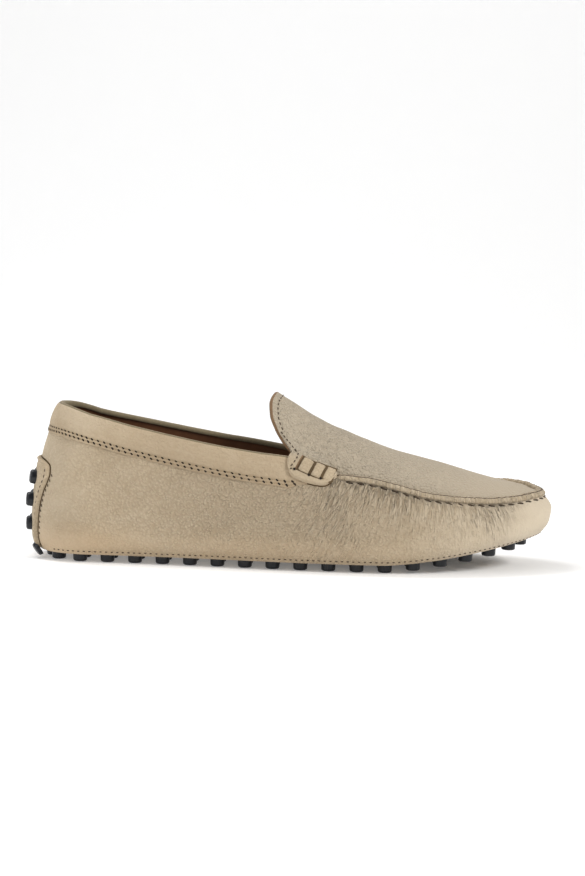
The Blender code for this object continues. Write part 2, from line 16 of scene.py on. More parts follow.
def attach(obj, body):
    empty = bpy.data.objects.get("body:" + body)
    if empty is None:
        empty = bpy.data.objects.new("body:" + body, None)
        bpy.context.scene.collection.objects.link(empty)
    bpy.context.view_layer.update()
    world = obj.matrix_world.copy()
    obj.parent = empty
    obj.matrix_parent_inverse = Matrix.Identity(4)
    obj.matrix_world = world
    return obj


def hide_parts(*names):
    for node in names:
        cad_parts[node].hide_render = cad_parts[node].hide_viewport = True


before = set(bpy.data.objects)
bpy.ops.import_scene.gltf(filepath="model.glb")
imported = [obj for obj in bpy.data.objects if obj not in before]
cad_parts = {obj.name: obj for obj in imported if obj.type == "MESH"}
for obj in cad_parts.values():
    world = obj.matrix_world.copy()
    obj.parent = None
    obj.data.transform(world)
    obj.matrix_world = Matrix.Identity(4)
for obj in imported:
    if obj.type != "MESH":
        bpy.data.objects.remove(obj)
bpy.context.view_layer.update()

MM = 0.001
SIDES = ((-1, "lateral"), (1, "medial"))
SHIFT = np.array((-0.14027375, -0.00259572, 0.0))

# The shoe's own sizes, as in the CAD source
LENGTH = 0.2865
BALL_WIDTH = 0.100
HEEL_HEIGHT = 0.086
INSTEP_RISE = 0.033
TOE_SPRING = 0.0153
TOE_SWING = 0.007
WALL = 0.0020
GAP = 0.0003
BAND_DEPTH = 0.0165
RIDGE_HEIGHT = 0.0028
RIDGE_WIDTH = 0.0026
RIDGE_FOOT = 0.0024
SOLE_THICKNESS = 0.0016
SHEET_THICKNESS = 0.0014
INSOLE_THICKNESS = 0.0024
PEBBLE_HEIGHT = 0.0045
PEBBLE_RADIUS = 0.0037
PEBBLE_PITCH = 0.0150
PEBBLE_ROW_PITCH = 0.0142
PEBBLE_MARGIN = 0.0019
PEBBLE_START_SHARE = 0.414
PEBBLE_CLEAR = 0.74
TAB_HALF_WIDTH = 0.0262
TAB_THICKNESS = 0.0013
HEEL_PEBBLE_RADIUS = 0.0041
HEEL_ROUND = 0.115
TOE_ROUND = 0.30
THROAT_SHARE = 0.497
SPRING_START = 0.675
THROAT_FADE = 0.15
SPRING_POWER = 1.38
LEAN_POWER = 1.6
HEEL_LEAN_POWER = 2.35
HEEL_LEAN_END = 0.14
TOE_POWER = 2.3
TOE_ROOT = 2.1
ARCH_POWER = 2.2
ARCH_ROOT = 0.82

SECTION_COLUMNS = (
    "share", "width_out", "width_in", "lean_out", "lean_in", "top_out", "top_in", "bulge", "tuck",
)
SECTIONS = (
    (0.000, 0.335, 0.335, 0.138, 0.138, 1.000, 1.000, 0.198, 0.045),
    (0.040, 0.335, 0.335, 0.124, 0.124, 0.988, 0.988, 0.198, 0.050),
    (0.080, 0.336, 0.334, 0.110, 0.108, 0.965, 0.965, 0.198, 0.055),
    (0.130, 0.340, 0.333, 0.094, 0.090, 0.928, 0.928, 0.198, 0.060),
    (0.200, 0.350, 0.333, 0.078, 0.072, 0.871, 0.884, 0.198, 0.062),
    (0.360, 0.396, 0.342, 0.070, 0.062, 0.769, 0.789, 0.198, 0.065),
    (0.430, 0.424, 0.356, 0.080, 0.070, 0.736, 0.754, 0.198, 0.065),
    (0.497, 0.450, 0.378, 0.100, 0.088, 0.709, 0.709, 0.200, 0.066),
    (0.540, 0.464, 0.400, 0.114, 0.104, 0.645, 0.647, 0.202, 0.068),
    (0.585, 0.478, 0.426, 0.128, 0.120, 0.592, 0.602, 0.204, 0.070),
    (0.640, 0.492, 0.458, 0.138, 0.130, 0.572, 0.588, 0.207, 0.072),
    (0.700, 0.500, 0.485, 0.144, 0.138, 0.530, 0.556, 0.212, 0.074),
    (0.766, 0.496, 0.500, 0.140, 0.138, 0.480, 0.517, 0.224, 0.076),
    (0.850, 0.474, 0.492, 0.124, 0.126, 0.452, 0.498, 0.255, 0.084),
    (0.900, 0.456, 0.478, 0.108, 0.110, 0.446, 0.500, 0.284, 0.092),
    (0.940, 0.440, 0.462, 0.092, 0.094, 0.453, 0.514, 0.314, 0.100),
    (0.970, 0.428, 0.450, 0.076, 0.078, 0.466, 0.508, 0.345, 0.106),
    (1.000, 0.420, 0.440, 0.060, 0.060, 0.480, 0.480, 0.384, 0.110),
)
APRON_CENTRE = (
    (0.450, 0.965), (0.4625, 0.957), (0.480, 0.890), (0.511, 0.800), (0.552, 0.755), (0.590, 0.700),
    (0.629, 0.590), (0.667, 0.510), (0.706, 0.470), (0.745, 0.457), (0.784, 0.420), (0.822, 0.355),
    (0.860, 0.270), (0.899, 0.180), (0.937, 0.075), (0.965, 0.015), (1.000, 0.000),
)
THROAT_EDGE = (
    (0.0, 0.0362), (0.12, 0.0368), (0.28, 0.0405), (0.48, 0.0443), (0.66, 0.0425), (0.82, 0.0322),
    (0.93, 0.0171), (1.0, 0.0),
)
HEEL_TAB = (
    (0.075, 0.64), (0.110, 0.64), (0.174, 0.645), (0.264, 0.67), (0.350, 0.72), (0.430, 0.82),
    (0.503, 0.95), (0.551, 1.00), (0.595, 0.97), (0.624, 0.76), (0.638, 0.40), (0.642, 0.14),
)
HEEL_PEBBLES = ((0.512, 0.0092), (0.368, 0.0076), (0.215, 0.0062), (0.070, 0.0140))
STUD_RADIUS = 0.0040
HEEL_PEBBLE_LIFTS = (0.0029, 0.0034, 0.0028, 0.0015)
WING = (
    (0.4865, 0.24), (0.489, 0.50), (0.494, 0.85), (0.503, 1.00), (0.516, 0.98), (0.533, 0.83),
    (0.548, 0.70), (0.558, 0.56), (0.567, 0.34), (0.578, 0.16),
)

# Creases of the side wall: depth in mm (below 0 is a ridge), half width in mm, and points as X in the
# frame and height, both in mm
CREASES = (
    (0.34, 0.7, ((33.6, 48.8), (33.2, 44.5))),
    (0.30, 0.9, ((28.4, 49.0), (25.2, 41.5))),
    (0.32, 1.0, ((23.6, 46.9), (18.9, 38.2))),
    (0.26, 1.0, ((18.9, 46.3), (13.6, 39.7))),
    (0.26, 1.0, ((40.0, 47.9), (36.8, 37.6))),
    (0.30, 1.1, ((45.3, 46.4), (41.0, 34.0))),
    (0.28, 1.1, ((51.6, 45.5), (47.4, 33.1))),
    (0.26, 0.9, ((55.3, 44.5), (51.6, 36.4))),
    (0.36, 1.1, ((60.0, 44.1), (59.0, 37.7), (56.4, 26.0))),
    (0.34, 1.2, ((64.3, 42.6), (62.2, 33.5), (59.0, 23.0))),
    (0.42, 0.8, ((68.5, 41.7), (66.4, 34.7), (65.9, 26.1))),
    (0.45, 0.7, ((72.2, 41.2), (71.2, 36.9))),
    (0.30, 1.0, ((79.0, 40.3), (77.0, 33.3), (73.8, 25.5))),
    (0.30, 0.9, ((84.9, 39.9), (83.3, 32.9), (81.2, 26.0))),
    (0.34, 0.8, ((91.2, 39.0), (90.2, 32.0), (87.5, 25.4))),
    (0.26, 0.8, ((96.5, 38.1), (96.0, 31.1))),
    (0.28, 0.9, ((101.3, 37.7), (102.3, 30.2), (100.2, 25.2))),
    (0.28, 0.8, ((109.7, 37.9), (111.3, 31.5))),
    (0.30, 0.9, ((115.5, 37.5), (118.2, 30.6))),
    (0.26, 0.9, ((122.9, 38.2), (126.1, 33.5))),
    (0.22, 0.9, ((128.7, 39.4), (131.9, 35.2))),
    (-0.40, 1.8, ((58.6, 35.5), (57.2, 27.0))),
    (-0.24, 1.6, ((47.8, 42.0), (44.8, 33.0))),
    (-0.22, 1.5, ((75.4, 38.0), (73.8, 30.0))),
    (0.30, 6.0, ((-14.0, 36.0), (-22.0, 27.0))),
    (0.34, 7.0, ((12.0, 34.0), (4.0, 27.0))),
    (0.26, 5.0, ((39.0, 34.0), (35.0, 31.0))),
    (0.24, 6.0, ((62.0, 23.0), (56.0, 17.5))),
    (-0.28, 7.0, ((-96.0, 14.0), (-60.0, 12.5))),
    (-0.20, 6.0, ((-38.0, 14.0), (-20.0, 13.0))),
    (0.22, 7.0, ((-66.0, 33.0), (-90.0, 35.0))),
)


class Curve:
    """A table read on a smooth curve that never overshoots its rows."""

    def __init__(self, rows, column=1):
        self.at = np.array([row[0] for row in rows], float)
        self.values = np.array([row[column] for row in rows], float)
        slopes = np.diff(self.values) / np.diff(self.at)
        before, after = slopes[:-1], slopes[1:]
        total = np.where(before + after == 0, 1, before + after)
        inner = np.where(before * after > 0, 2 * before * after / total, 0)
        self.tangents = np.concatenate((slopes[:1], inner, slopes[-1:]))

    def __call__(self, share):
        share = np.clip(share, self.at[0], self.at[-1])
        i = np.clip(np.searchsorted(self.at, share, side="right") - 1, 0, len(self.at) - 2)
        step = self.at[i + 1] - self.at[i]
        f = (share - self.at[i]) / step
        return (
            self.values[i] * (1 + 2 * f) * (1 - f) ** 2
            + self.tangents[i] * step * f * (1 - f) ** 2
            + self.values[i + 1] * f * f * (3 - 2 * f)
            + self.tangents[i + 1] * step * f * f * (f - 1)
        )


SECTION = {name: Curve(SECTIONS, k) for k, name in enumerate(SECTION_COLUMNS) if k}
apron_rise = Curve(APRON_CENTRE)
throat_back = Curve(THROAT_EDGE)
tab_half = Curve(HEEL_TAB)
wing_depth = Curve(WING)


def sided(name, side, share):
    return np.where(side < 0, SECTION[name + "_out"](share), SECTION[name + "_in"](share))


def ease(low, high, value):
    f = np.clip((value - low) / (high - low), 0.0, 1.0)
    return f * f * (3 - 2 * f)


def ground(x):
    rise = np.maximum((x / LENGTH - SPRING_START) / (1 - SPRING_START), 0.0)
    return PEBBLE_HEIGHT + TOE_SPRING * rise ** SPRING_POWER


def side_outline(side, share):
    heel = np.minimum(share / HEEL_ROUND, 1.0)
    toe = np.clip((share - 1 + TOE_ROUND) / TOE_ROUND, 0.0, 1.0)
    ends = np.sqrt(1 - (1 - heel) ** 2) * (1 - toe ** TOE_POWER) ** (1 / TOE_ROOT)
    width = sided("width", side, share) * BALL_WIDTH
    return np.stack((share * LENGTH, side * width * ends + TOE_SWING * ease(0.5, 1.0, share)), axis=-1)


def lengths(path):
    """How far along its first axis each point of a path is."""
    steps = np.linalg.norm(np.diff(path, axis=0), axis=-1)
    return np.concatenate((np.zeros_like(steps[:1]), np.cumsum(steps, axis=0)))


def arc_table(steps=6000):
    shares = (1 - np.cos(np.pi * np.arange(steps + 1) / steps)) / 2
    lateral, medial = side_outline(-1.0, shares), side_outline(1.0, shares)
    return lengths(np.stack((lateral[:, 0], (medial[:, 1] - lateral[:, 1]) / 2), axis=1)), shares


ARC_RUNS, ARC_SHARES = arc_table()
HALF_GIRTH = float(ARC_RUNS[-1])


def share_at(run):
    return np.interp(np.abs(run), ARC_RUNS, ARC_SHARES)


def run_at(share):
    return np.interp(share, ARC_SHARES, ARC_RUNS)


def folded(run):
    return (np.asarray(run, float) + HALF_GIRTH) % (2 * HALF_GIRTH) - HALF_GIRTH


def side_of(run):
    return np.where(run < 0, -1.0, 1.0)


def outline(run):
    run = folded(run)
    return side_outline(side_of(run), share_at(run))


def outward(run, reach=0.0015):
    along = outline(run + reach) - outline(run - reach)
    along /= np.linalg.norm(along, axis=-1, keepdims=True)
    return np.stack((-along[..., 1], along[..., 0]), axis=-1)


def wall_height(run):
    run = folded(run)
    share = share_at(run)
    return (sided("top", side_of(run), share) - SECTION["bulge"](share)) * HEEL_HEIGHT


def wall(run, level):
    """A point of the shell: level 1 is its top, 0 its widest place and -1 where it turns under."""
    run, level = np.broadcast_arrays(folded(run), np.asarray(level, float))
    share = share_at(run)
    bulge = SECTION["bulge"](share) * HEEL_HEIGHT
    normal = outward(run)
    plan = outline(run)
    tuck = SECTION["tuck"](share) * BALL_WIDTH
    lean = sided("lean", side_of(run), share) * BALL_WIDTH
    turn = np.clip(-level, 0, 1) * math.pi / 2
    foot_x = plan[..., 0] - normal[..., 0] * tuck
    power = HEEL_LEAN_POWER + (LEAN_POWER - HEEL_LEAN_POWER) * ease(0.0, HEEL_LEAN_END, share)
    inset = np.where(level >= 0, lean * np.maximum(level, 0) ** power, tuck * (1 - np.cos(turn)))
    height = np.where(
        level >= 0, bulge + level * wall_height(run), bulge - (bulge - ground(foot_x)) * np.sin(turn)
    )
    flat = plan - normal * inset[..., None]
    return np.concatenate((flat, height[..., None]), axis=-1)


def unit(vectors):
    return vectors / np.maximum(np.linalg.norm(vectors, axis=-1, keepdims=True), 1e-12)


def wall_normal(run, level, reach=0.0015):
    level = np.asarray(level, float)
    up = wall(run, np.minimum(level + 0.02, 1.0)) - wall(run, np.maximum(level - 0.02, -1.0))
    along = wall(run + reach, level) - wall(run - reach, level)
    return unit(np.cross(up, along))


def off_wall(run, level, lift):
    """A point lifted off the wall along its normal, and that normal."""
    normal = wall_normal(run, np.clip(level, -1, 1))
    return wall(run, level) + normal * np.asarray(lift)[..., None], normal


def on_wall(run, drop, lift):
    """A point a distance below the wall's top, lifted along its normal."""
    return off_wall(run, 1 - drop / wall_height(run), lift)[0]


def level_of(run, height):
    bulge = SECTION["bulge"](share_at(run)) * HEEL_HEIGHT
    low = wall(run, -1.0)[..., 2]
    above = (height - bulge) / wall_height(run)
    below = -np.arcsin(np.clip((bulge - height) / (bulge - low), 0.0, 1.0)) / (math.pi / 2)
    return np.where(height >= bulge, above, below)


def apron_edge(run):
    inwards = -outward(run) * RIDGE_FOOT
    rise = np.full(inwards.shape[:-1] + (1,), RIDGE_FOOT * 0.15)
    return wall(run, 1.0) + np.concatenate((inwards, rise), axis=-1)


def apron(run, across):
    """A point of the apron on the line between the two sides at a distance from the heel."""
    run, across = np.broadcast_arrays(np.asarray(run, float), np.asarray(across, float))
    lateral, medial = apron_edge(-run), apron_edge(run)
    middle, half = (lateral + medial) / 2, (medial - lateral) / 2
    fade = np.maximum(1 - (share_at(run) - THROAT_SHARE) / THROAT_FADE, 0.0) ** 2
    centre_share = middle[..., 0] / LENGTH - throat_back(0.0) * fade
    seam = (SECTION["top_out"](centre_share) + SECTION["top_in"](centre_share)) / 2 * HEEL_HEIGHT
    height = seam + apron_rise(centre_share) * INSTEP_RISE
    arch = np.maximum(1 - np.abs(across) ** ARCH_POWER, 0) ** ARCH_ROOT
    point = middle + half * across[..., None]
    point[..., 0] -= throat_back(np.abs(across)) * LENGTH * fade
    point[..., 2] += np.maximum(height - middle[..., 2], 0.0) * arch
    return point


def seam_direction(run):
    seam = wall(run, 1.0)
    along = wall(run + 0.002, 1.0) - wall(run - 0.002, 1.0)
    over = unit(np.cross(apron_edge(run) - seam, along))
    over = np.where(over[..., 2:] < 0, -over, over)
    return unit(wall_normal(run, 1.0) + over)


def lumps(values, spacing, seed):
    """Smooth random heights along a line, from -1 to 1, about a spacing apart."""
    table = np.random.default_rng(seed).uniform(-1, 1, 4096)
    at = np.asarray(values) / spacing + 2000
    i = np.floor(at).astype(int)
    f = at - i
    f = f * f * (3 - 2 * f)
    return table[i % 4096] * (1 - f) + table[(i + 1) % 4096] * f


def near_line(x, z, points):
    """Distance from each place to a line through points, and how far along it, from 0 to 1."""
    best = np.full(x.shape, 1e9)
    along = np.zeros(x.shape)
    count = len(points) - 1
    for k in range(count):
        (ax, az), (bx, bz) = points[k], points[k + 1]
        dx, dz = bx - ax, bz - az
        t = np.clip(((x - ax) * dx + (z - az) * dz) / (dx * dx + dz * dz), 0, 1)
        away = np.hypot(x - ax - t * dx, z - az - t * dz)
        along = np.where(away < best, (k + t) / count, along)
        best = np.minimum(best, away)
    return best, along


def crease_depth(points, widest=100.0):
    """How deep the listed creases up to a half width in mm lie at points of the wall, in metres."""
    at = (points + SHIFT) / MM
    x, y, z = at[..., 0], at[..., 1], at[..., 2]
    x = np.where(y > 0, x + 3.5 * np.sin(x / 17), x)
    depth = np.zeros(x.shape)
    for deep, half_width, line in CREASES:
        if half_width > widest:
            continue
        half_width *= 0.66 if half_width < 1.5 else 1.0
        away, along = near_line(x, z, line)
        fade = 1 - 0.75 * along
        lips = 0.45 * np.exp(-(((away / half_width - 1.9) / 0.9) ** 2))
        depth += deep * fade * (np.exp(-((away / half_width) ** 2)) - lips)
    return depth * MM


# Meshes


def add_mesh(name, verts, faces, materials, slot, kinds=None, **painted):
    """Makes a piece in the frame from points in the shoe's own coordinates, with painted values."""
    mesh = bpy.data.meshes.new(name)
    mesh.from_pydata((np.asarray(verts).reshape(-1, 3) + SHIFT).tolist(), [], faces)
    for material in materials:
        mesh.materials.append(material)
    if kinds is not None:
        mesh.polygons.foreach_set("material_index", np.asarray(kinds, np.int32))
    for key, values in painted.items():
        kind, field, width = ("FLOAT_VECTOR", "vector", 3) if key == "flow" else ("FLOAT", "value", 1)
        filled = np.zeros((len(mesh.vertices), width), np.float32)
        values = np.asarray(values, np.float32)
        filled[:values.size // width if values.ndim else None] = values.reshape(-1, width)
        mesh.attributes.new(key, kind, "POINT").data.foreach_set(field, filled.ravel())
    bm = bmesh.new()
    bm.from_mesh(mesh)
    bmesh.ops.remove_doubles(bm, verts=bm.verts, dist=1e-7)
    bmesh.ops.recalc_face_normals(bm, faces=bm.faces)
    bm.to_mesh(mesh)
    bm.free()
    mesh.shade_smooth()
    mesh.set_sharp_from_angle(angle=math.radians(62))
    piece = bpy.data.objects.new(name, mesh)
    bpy.context.scene.collection.objects.link(piece)
    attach(piece, "root")
    return piece


def grid_faces(rows, columns, start=0, closed_rows=False, closed_columns=False):
    faces = []
    for i in range(rows if closed_rows else rows - 1):
        for k in range(columns if closed_columns else columns - 1):
            a, b = start + i * columns, start + ((i + 1) % rows) * columns
            j = (k + 1) % columns
            faces.append((a + k, b + k, b + j, a + j))
    return faces


def plate(low, high):
    """Points and faces of a closed plate between two grids."""
    rows, columns = low.shape[:2]
    count = rows * columns
    verts = np.concatenate((low.reshape(-1, 3), high.reshape(-1, 3)))
    faces = grid_faces(rows, columns) + grid_faces(rows, columns, count)
    place = np.arange(count).reshape(rows, columns)
    sides = (place[0], place[1:, -1], place[-1, -2::-1], place[-2:0:-1, 0])
    edge = np.concatenate(sides).tolist()
    faces += [(a, b, b + count, a + count) for a, b in zip(edge, edge[1:] + edge[:1])]
    return verts, faces


def grid_normals(points):
    return unit(np.cross(np.gradient(points, axis=0), np.gradient(points, axis=1)))


def upright(points):
    """Normals of a grid that lies face up."""
    normals = grid_normals(points)
    return np.where(normals[..., 2:] < 0, -normals, normals)


def seeds(
    name, centres, along, normal, length, radius, materials, slot, sink=0.0, flat=1.0, sides=6, rings=5,
):
    """A joined mesh of small capsules: threads, and the painted shade of holes and slots."""
    along = unit(along)
    across = unit(np.cross(normal, along))
    normal = unit(np.cross(along, across))
    length = np.broadcast_to(length, (len(centres),))[:, None, None]
    turns = np.linspace(0, 2 * np.pi, sides, endpoint=False)
    stops = np.linspace(-1, 1, rings)[:, None]
    girth = np.sqrt(np.maximum(1 - np.abs(stops) ** 3, 0.03))
    rise = radius * flat * girth * np.sin(turns) - sink * np.abs(stops) ** 2.5
    verts = (
        centres[:, None, None, :]
        + along[:, None, None, :] * (length * stops / 2)[..., None]
        + across[:, None, None, :] * (radius * girth * np.cos(turns))[..., None]
        + normal[:, None, None, :] * rise[..., None]
    )
    faces = []
    for start in range(0, len(centres) * sides * rings, sides * rings):
        faces += grid_faces(rings, sides, start, closed_columns=True)
        faces += [tuple(range(low, low + sides)) for low in (start, start + (rings - 1) * sides)]
    add_mesh(name, verts, faces, materials, slot)


def rows_of(name, path, normals, pitch, length, radius, materials, slot, start=0.0, turn=0.0, **more):
    """Seeds at even steps along a path of points."""
    runs = lengths(path)
    at = np.arange(start + pitch / 2, runs[-1] - pitch * 0.3, pitch)
    pick = lambda table, where: np.stack([np.interp(where, runs, table[:, k]) for k in range(3)], axis=1)
    centres, normal = pick(path, at), unit(pick(normals, at))
    along = unit(pick(path, np.minimum(at + 1e-4, runs[-1])) - pick(path, np.maximum(at - 1e-4, 0)))
    if turn:
        along = along * math.cos(turn) + np.cross(normal, along) * math.sin(turn)
    seeds(name, centres, along, normal, length, radius, materials, slot, **more)


def cord(name, points, normals, radius, materials, slot, flat=1.0, sides=8):
    """A smooth tube along a path of points."""
    along = unit(np.gradient(points, axis=0))
    across = unit(np.cross(unit(normals), along))
    normals = unit(np.cross(along, across))
    turns = np.linspace(0, 2 * np.pi, sides, endpoint=False)
    girth = np.full((len(points), 1), radius)
    girth[[0, -1]] *= 0.35
    grid = (
        points[:, None, :]
        + across[:, None, :] * (girth * np.cos(turns))[..., None]
        + normals[:, None, :] * (girth * flat * np.sin(turns))[..., None]
    )
    faces = grid_faces(len(points), sides, closed_columns=True)
    faces += [tuple(range(low, low + sides)) for low in (0, (len(points) - 1) * sides)]
    add_mesh(name, grid, faces, materials, slot)


# Materials


def link_or_set(tree, socket, value):
    if isinstance(value, bpy.types.NodeSocket):
        tree.links.new(value, socket)
    else:
        socket.default_value = value


def put(tree, kind, settings=None, **inputs):
    node = tree.nodes.new(kind)
    for key, value in (settings or {}).items():
        setattr(node, key, value)
    for key, value in inputs.items():
        link_or_set(tree, node.inputs[key.replace("_", " ")], value)
    return node


def calc(tree, operation, *values, kind="ShaderNodeMath"):
    node = tree.nodes.new(kind)
    node.operation = operation
    for socket, value in zip(node.inputs, values):
        link_or_set(tree, socket, value)
    return node.outputs[0]


def ramp(tree, value, low=0.0, high=1.0, start=0.0, stop=1.0):
    """A value between low and high laid out between start and stop."""
    sizes = {"From_Min": low, "From_Max": high, "To_Min": start, "To_Max": stop}
    return put(tree, "ShaderNodeMapRange", Value=value, **sizes).outputs[0]


def blend(tree, amount, a, b):
    node = tree.nodes.new("ShaderNodeMix")
    node.data_type = "RGBA"
    node.clamp_factor = True
    for k, value in ((0, amount), (6, a), (7, b)):
        link_or_set(tree, node.inputs[k], value)
    return node.outputs[2]


def noise(tree, where, scale, detail=2.0, rough=0.5, spread=None):
    sizes = {"Vector": where, "Scale": scale, "Detail": detail, "Roughness": rough}
    field = put(tree, "ShaderNodeTexNoise", **sizes).outputs["Fac"]
    return ramp(tree, field, *spread) if spread else field


def bent(tree, where, scale, reach):
    """Coordinates bent by a noise."""
    sway = put(tree, "ShaderNodeTexNoise", Vector=where, Scale=scale, Detail=2.0).outputs["Color"]
    return calc(tree, "MULTIPLY_ADD", sway, (reach,) * 3, where, kind="ShaderNodeVectorMath")


def cells(tree, where, scale, smoothness, low, high):
    """Soft cells, 0 in their middles and 1 in the valleys between them."""
    sizes = {"Vector": where, "Scale": scale, "Smoothness": smoothness}
    field = put(tree, "ShaderNodeTexVoronoi", {"feature": "SMOOTH_F1"}, **sizes).outputs["Distance"]
    return ramp(tree, field, low, high)


def attribute(tree, name, output="Fac"):
    return put(tree, "ShaderNodeAttribute", {"attribute_name": name}).outputs[output]


def bump(tree, height, depth, under=None):
    more = {} if under is None else {"Normal": under}
    return put(tree, "ShaderNodeBump", Height=height, Distance=depth, Strength=1.0, **more).outputs["Normal"]


def start_material(name, colour, roughness):
    material = bpy.data.materials.new(name)
    material.use_nodes = True
    tree = material.node_tree
    shader = tree.nodes["Principled BSDF"]
    shader.inputs["Base Color"].default_value = (*colour, 1)
    shader.inputs["Roughness"].default_value = roughness
    return material, tree, shader, tree.nodes.new("ShaderNodeTexCoord").outputs["Object"]


def finish(tree, shader, colour, rough, normal, specular=0.5):
    for name, value in (("Base Color", colour), ("Roughness", rough), ("Normal", normal)):
        tree.links.new(value, shader.inputs[name])
    shader.inputs["Specular IOR Level"].default_value = specular


def fold_lines(tree, flow, scale, width):
    """Thin winding lines of 1 on 0, drawn out along the flow."""
    away = calc(tree, "ABSOLUTE", calc(tree, "SUBTRACT", noise(tree, flow, scale, 1.5), 0.5))
    return ramp(tree, away, 0.0, width, 1.0, 0.0)


def nubuck(name, base, dark, light, grain_scale=700.0, grain_depth=0.00085, painted=True):
    """Sand nubuck: cells of grain, a brushed nap, fine folds, mottled colour and painted shading."""
    material, tree, shader, where = start_material(name, base, 0.9)
    patches = noise(tree, where, 34.0, 3.0, 0.55, (0.32, 0.68))
    blots = noise(tree, where, 170.0, 3.0, 0.6, (0.30, 0.70))
    nap = noise(tree, where, 2300.0, 2.0, 0.6, (0.25, 0.75))
    valley = cells(tree, bent(tree, where, 420.0, 0.0016), grain_scale, 0.30, 0.18, 0.70)
    strength = 0.6
    if painted:
        keys = ("tone", "warm", "grain", "wrinkle")
        tone, warmth, strength, folds = [attribute(tree, key) for key in keys]
        flow = attribute(tree, "flow", "Vector")
        furrow = cells(tree, bent(tree, flow, 1.7, 1.0), 1.15, 0.20, 0.26, 0.66)
        share = calc(tree, "MINIMUM", calc(tree, "MULTIPLY", folds, 1.3), 1.0)
        valley = calc(tree, "MULTIPLY_ADD", share, calc(tree, "SUBTRACT", furrow, valley), valley)
    carved = calc(tree, "MULTIPLY", valley, strength)
    normal = bump(tree, calc(tree, "SUBTRACT", 1.0, carved), grain_depth)
    normal = bump(tree, nap, 0.00004, normal)
    shades = [(patches, 0.26, dark), (blots, 0.20, light), (carved, 0.62, dark), (nap, 0.18, light)]
    if painted:
        # Painted light and shade on the folds: dark lines in the creases, lighter where the folds rise (pale)
        # and darker where they sink (deep).
        fine, broad = fold_lines(tree, flow, 1.0, 0.055), fold_lines(tree, flow, 0.45, 0.035)
        lines = calc(tree, "MULTIPLY", calc(tree, "MAXIMUM", fine, broad), folds)
        pale = calc(tree, "MULTIPLY", noise(tree, flow, 0.90, 1.5, 0.5, (0.38, 0.62)), folds)
        deep = calc(tree, "SUBTRACT", folds, pale)
        shades += [(tone, 1, light), (tone, -1, dark), (warmth, 1, SAND_WARM), (warmth, -1, SAND_COOL)]
        shades += [(pale, 0.42, light), (deep, 0.24, dark), (lines, 0.36, dark)]
        normal = bump(tree, pale, 0.00070, normal)
        normal = bump(tree, calc(tree, "SUBTRACT", 1.0, lines), 0.00042, normal)
    colour = base + (1,)
    for amount, share, shade in shades:
        colour = blend(tree, calc(tree, "MULTIPLY", amount, share), colour, shade + (1,))
    finish(tree, shader, colour, ramp(tree, nap, start=0.80, stop=0.98), normal, 0.22)
    sheen = {"Sheen Weight": 0.12, "Sheen Roughness": 0.45, "Sheen Tint": (0.95, 0.90, 0.80, 1)}
    for key, value in sheen.items():
        shader.inputs[key].default_value = value
    return material


def plain_leather(name, base, dark, roughness, scale, depth):
    """Smooth leather with fine pores and a soft mottle."""
    material, tree, shader, where = start_material(name, base, roughness)
    mottle = noise(tree, where, 90.0, 3.0, 0.6, (0.3, 0.7))
    pores = put(tree, "ShaderNodeTexVoronoi", Vector=where, Scale=scale).outputs["Distance"]
    fine = noise(tree, where, scale * 2.2, 2.0, 0.6)
    colour = blend(tree, calc(tree, "MULTIPLY", mottle, 0.7), base + (1,), dark + (1,))
    rough = ramp(tree, fine, start=max(roughness - 0.1, 0), stop=roughness + 0.1)
    finish(tree, shader, colour, rough, bump(tree, fine, depth * 0.5, bump(tree, pores, depth)), 0.35)
    return material


def rubber(name):
    """Black moulded rubber, satin, with fine flow marks and patches of dust."""
    material, tree, shader, where = start_material(name, (0.007, 0.008, 0.011), 0.40)
    dust = noise(tree, where, 260.0, 4.0, 0.6, (0.40, 0.75))
    fine = noise(tree, where, 1900.0, 2.0, 0.5)
    share = calc(tree, "MULTIPLY", dust, 0.35)
    colour = blend(tree, share, (0.006, 0.007, 0.010, 1), (0.020, 0.022, 0.027, 1))
    finish(tree, shader, colour, ramp(tree, dust, start=0.28, stop=0.46), bump(tree, fine, 0.00005), 0.36)
    return material


def thread(name, base, dark):
    """Waxed twisted thread."""
    material, tree, shader, where = start_material(name, base, 0.6)
    sizes = {"Vector": where, "Scale": 900.0, "Distortion": 1.5}
    twist = put(tree, "ShaderNodeTexWave", {"bands_direction": "DIAGONAL"}, **sizes).outputs["Fac"]
    colour = blend(tree, twist, base + (1,), dark + (1,))
    finish(tree, shader, colour, ramp(tree, twist, start=0.5, stop=0.7), bump(tree, twist, 0.00006))
    return material


SAND = (0.440, 0.345, 0.228)
SAND_DARK = (0.235, 0.173, 0.106)
SAND_LIGHT = (0.640, 0.545, 0.415)
SAND_WARM = (0.500, 0.355, 0.215)
SAND_COOL = (0.440, 0.385, 0.305)
NUBUCK = nubuck("sand_nubuck_leather", SAND, SAND_DARK, SAND_LIGHT)
# Painted light: a lighter copy of SAND for the heel tab, lace bars and sole leather, to match the brightly
# lit heel.
SAND_STRAP_LIT = (0.475, 0.373, 0.248)
NUBUCK_SMALL = nubuck("sand_nubuck_strap", SAND_STRAP_LIT, SAND_DARK, SAND_LIGHT, 820.0, 0.00034, painted=False)
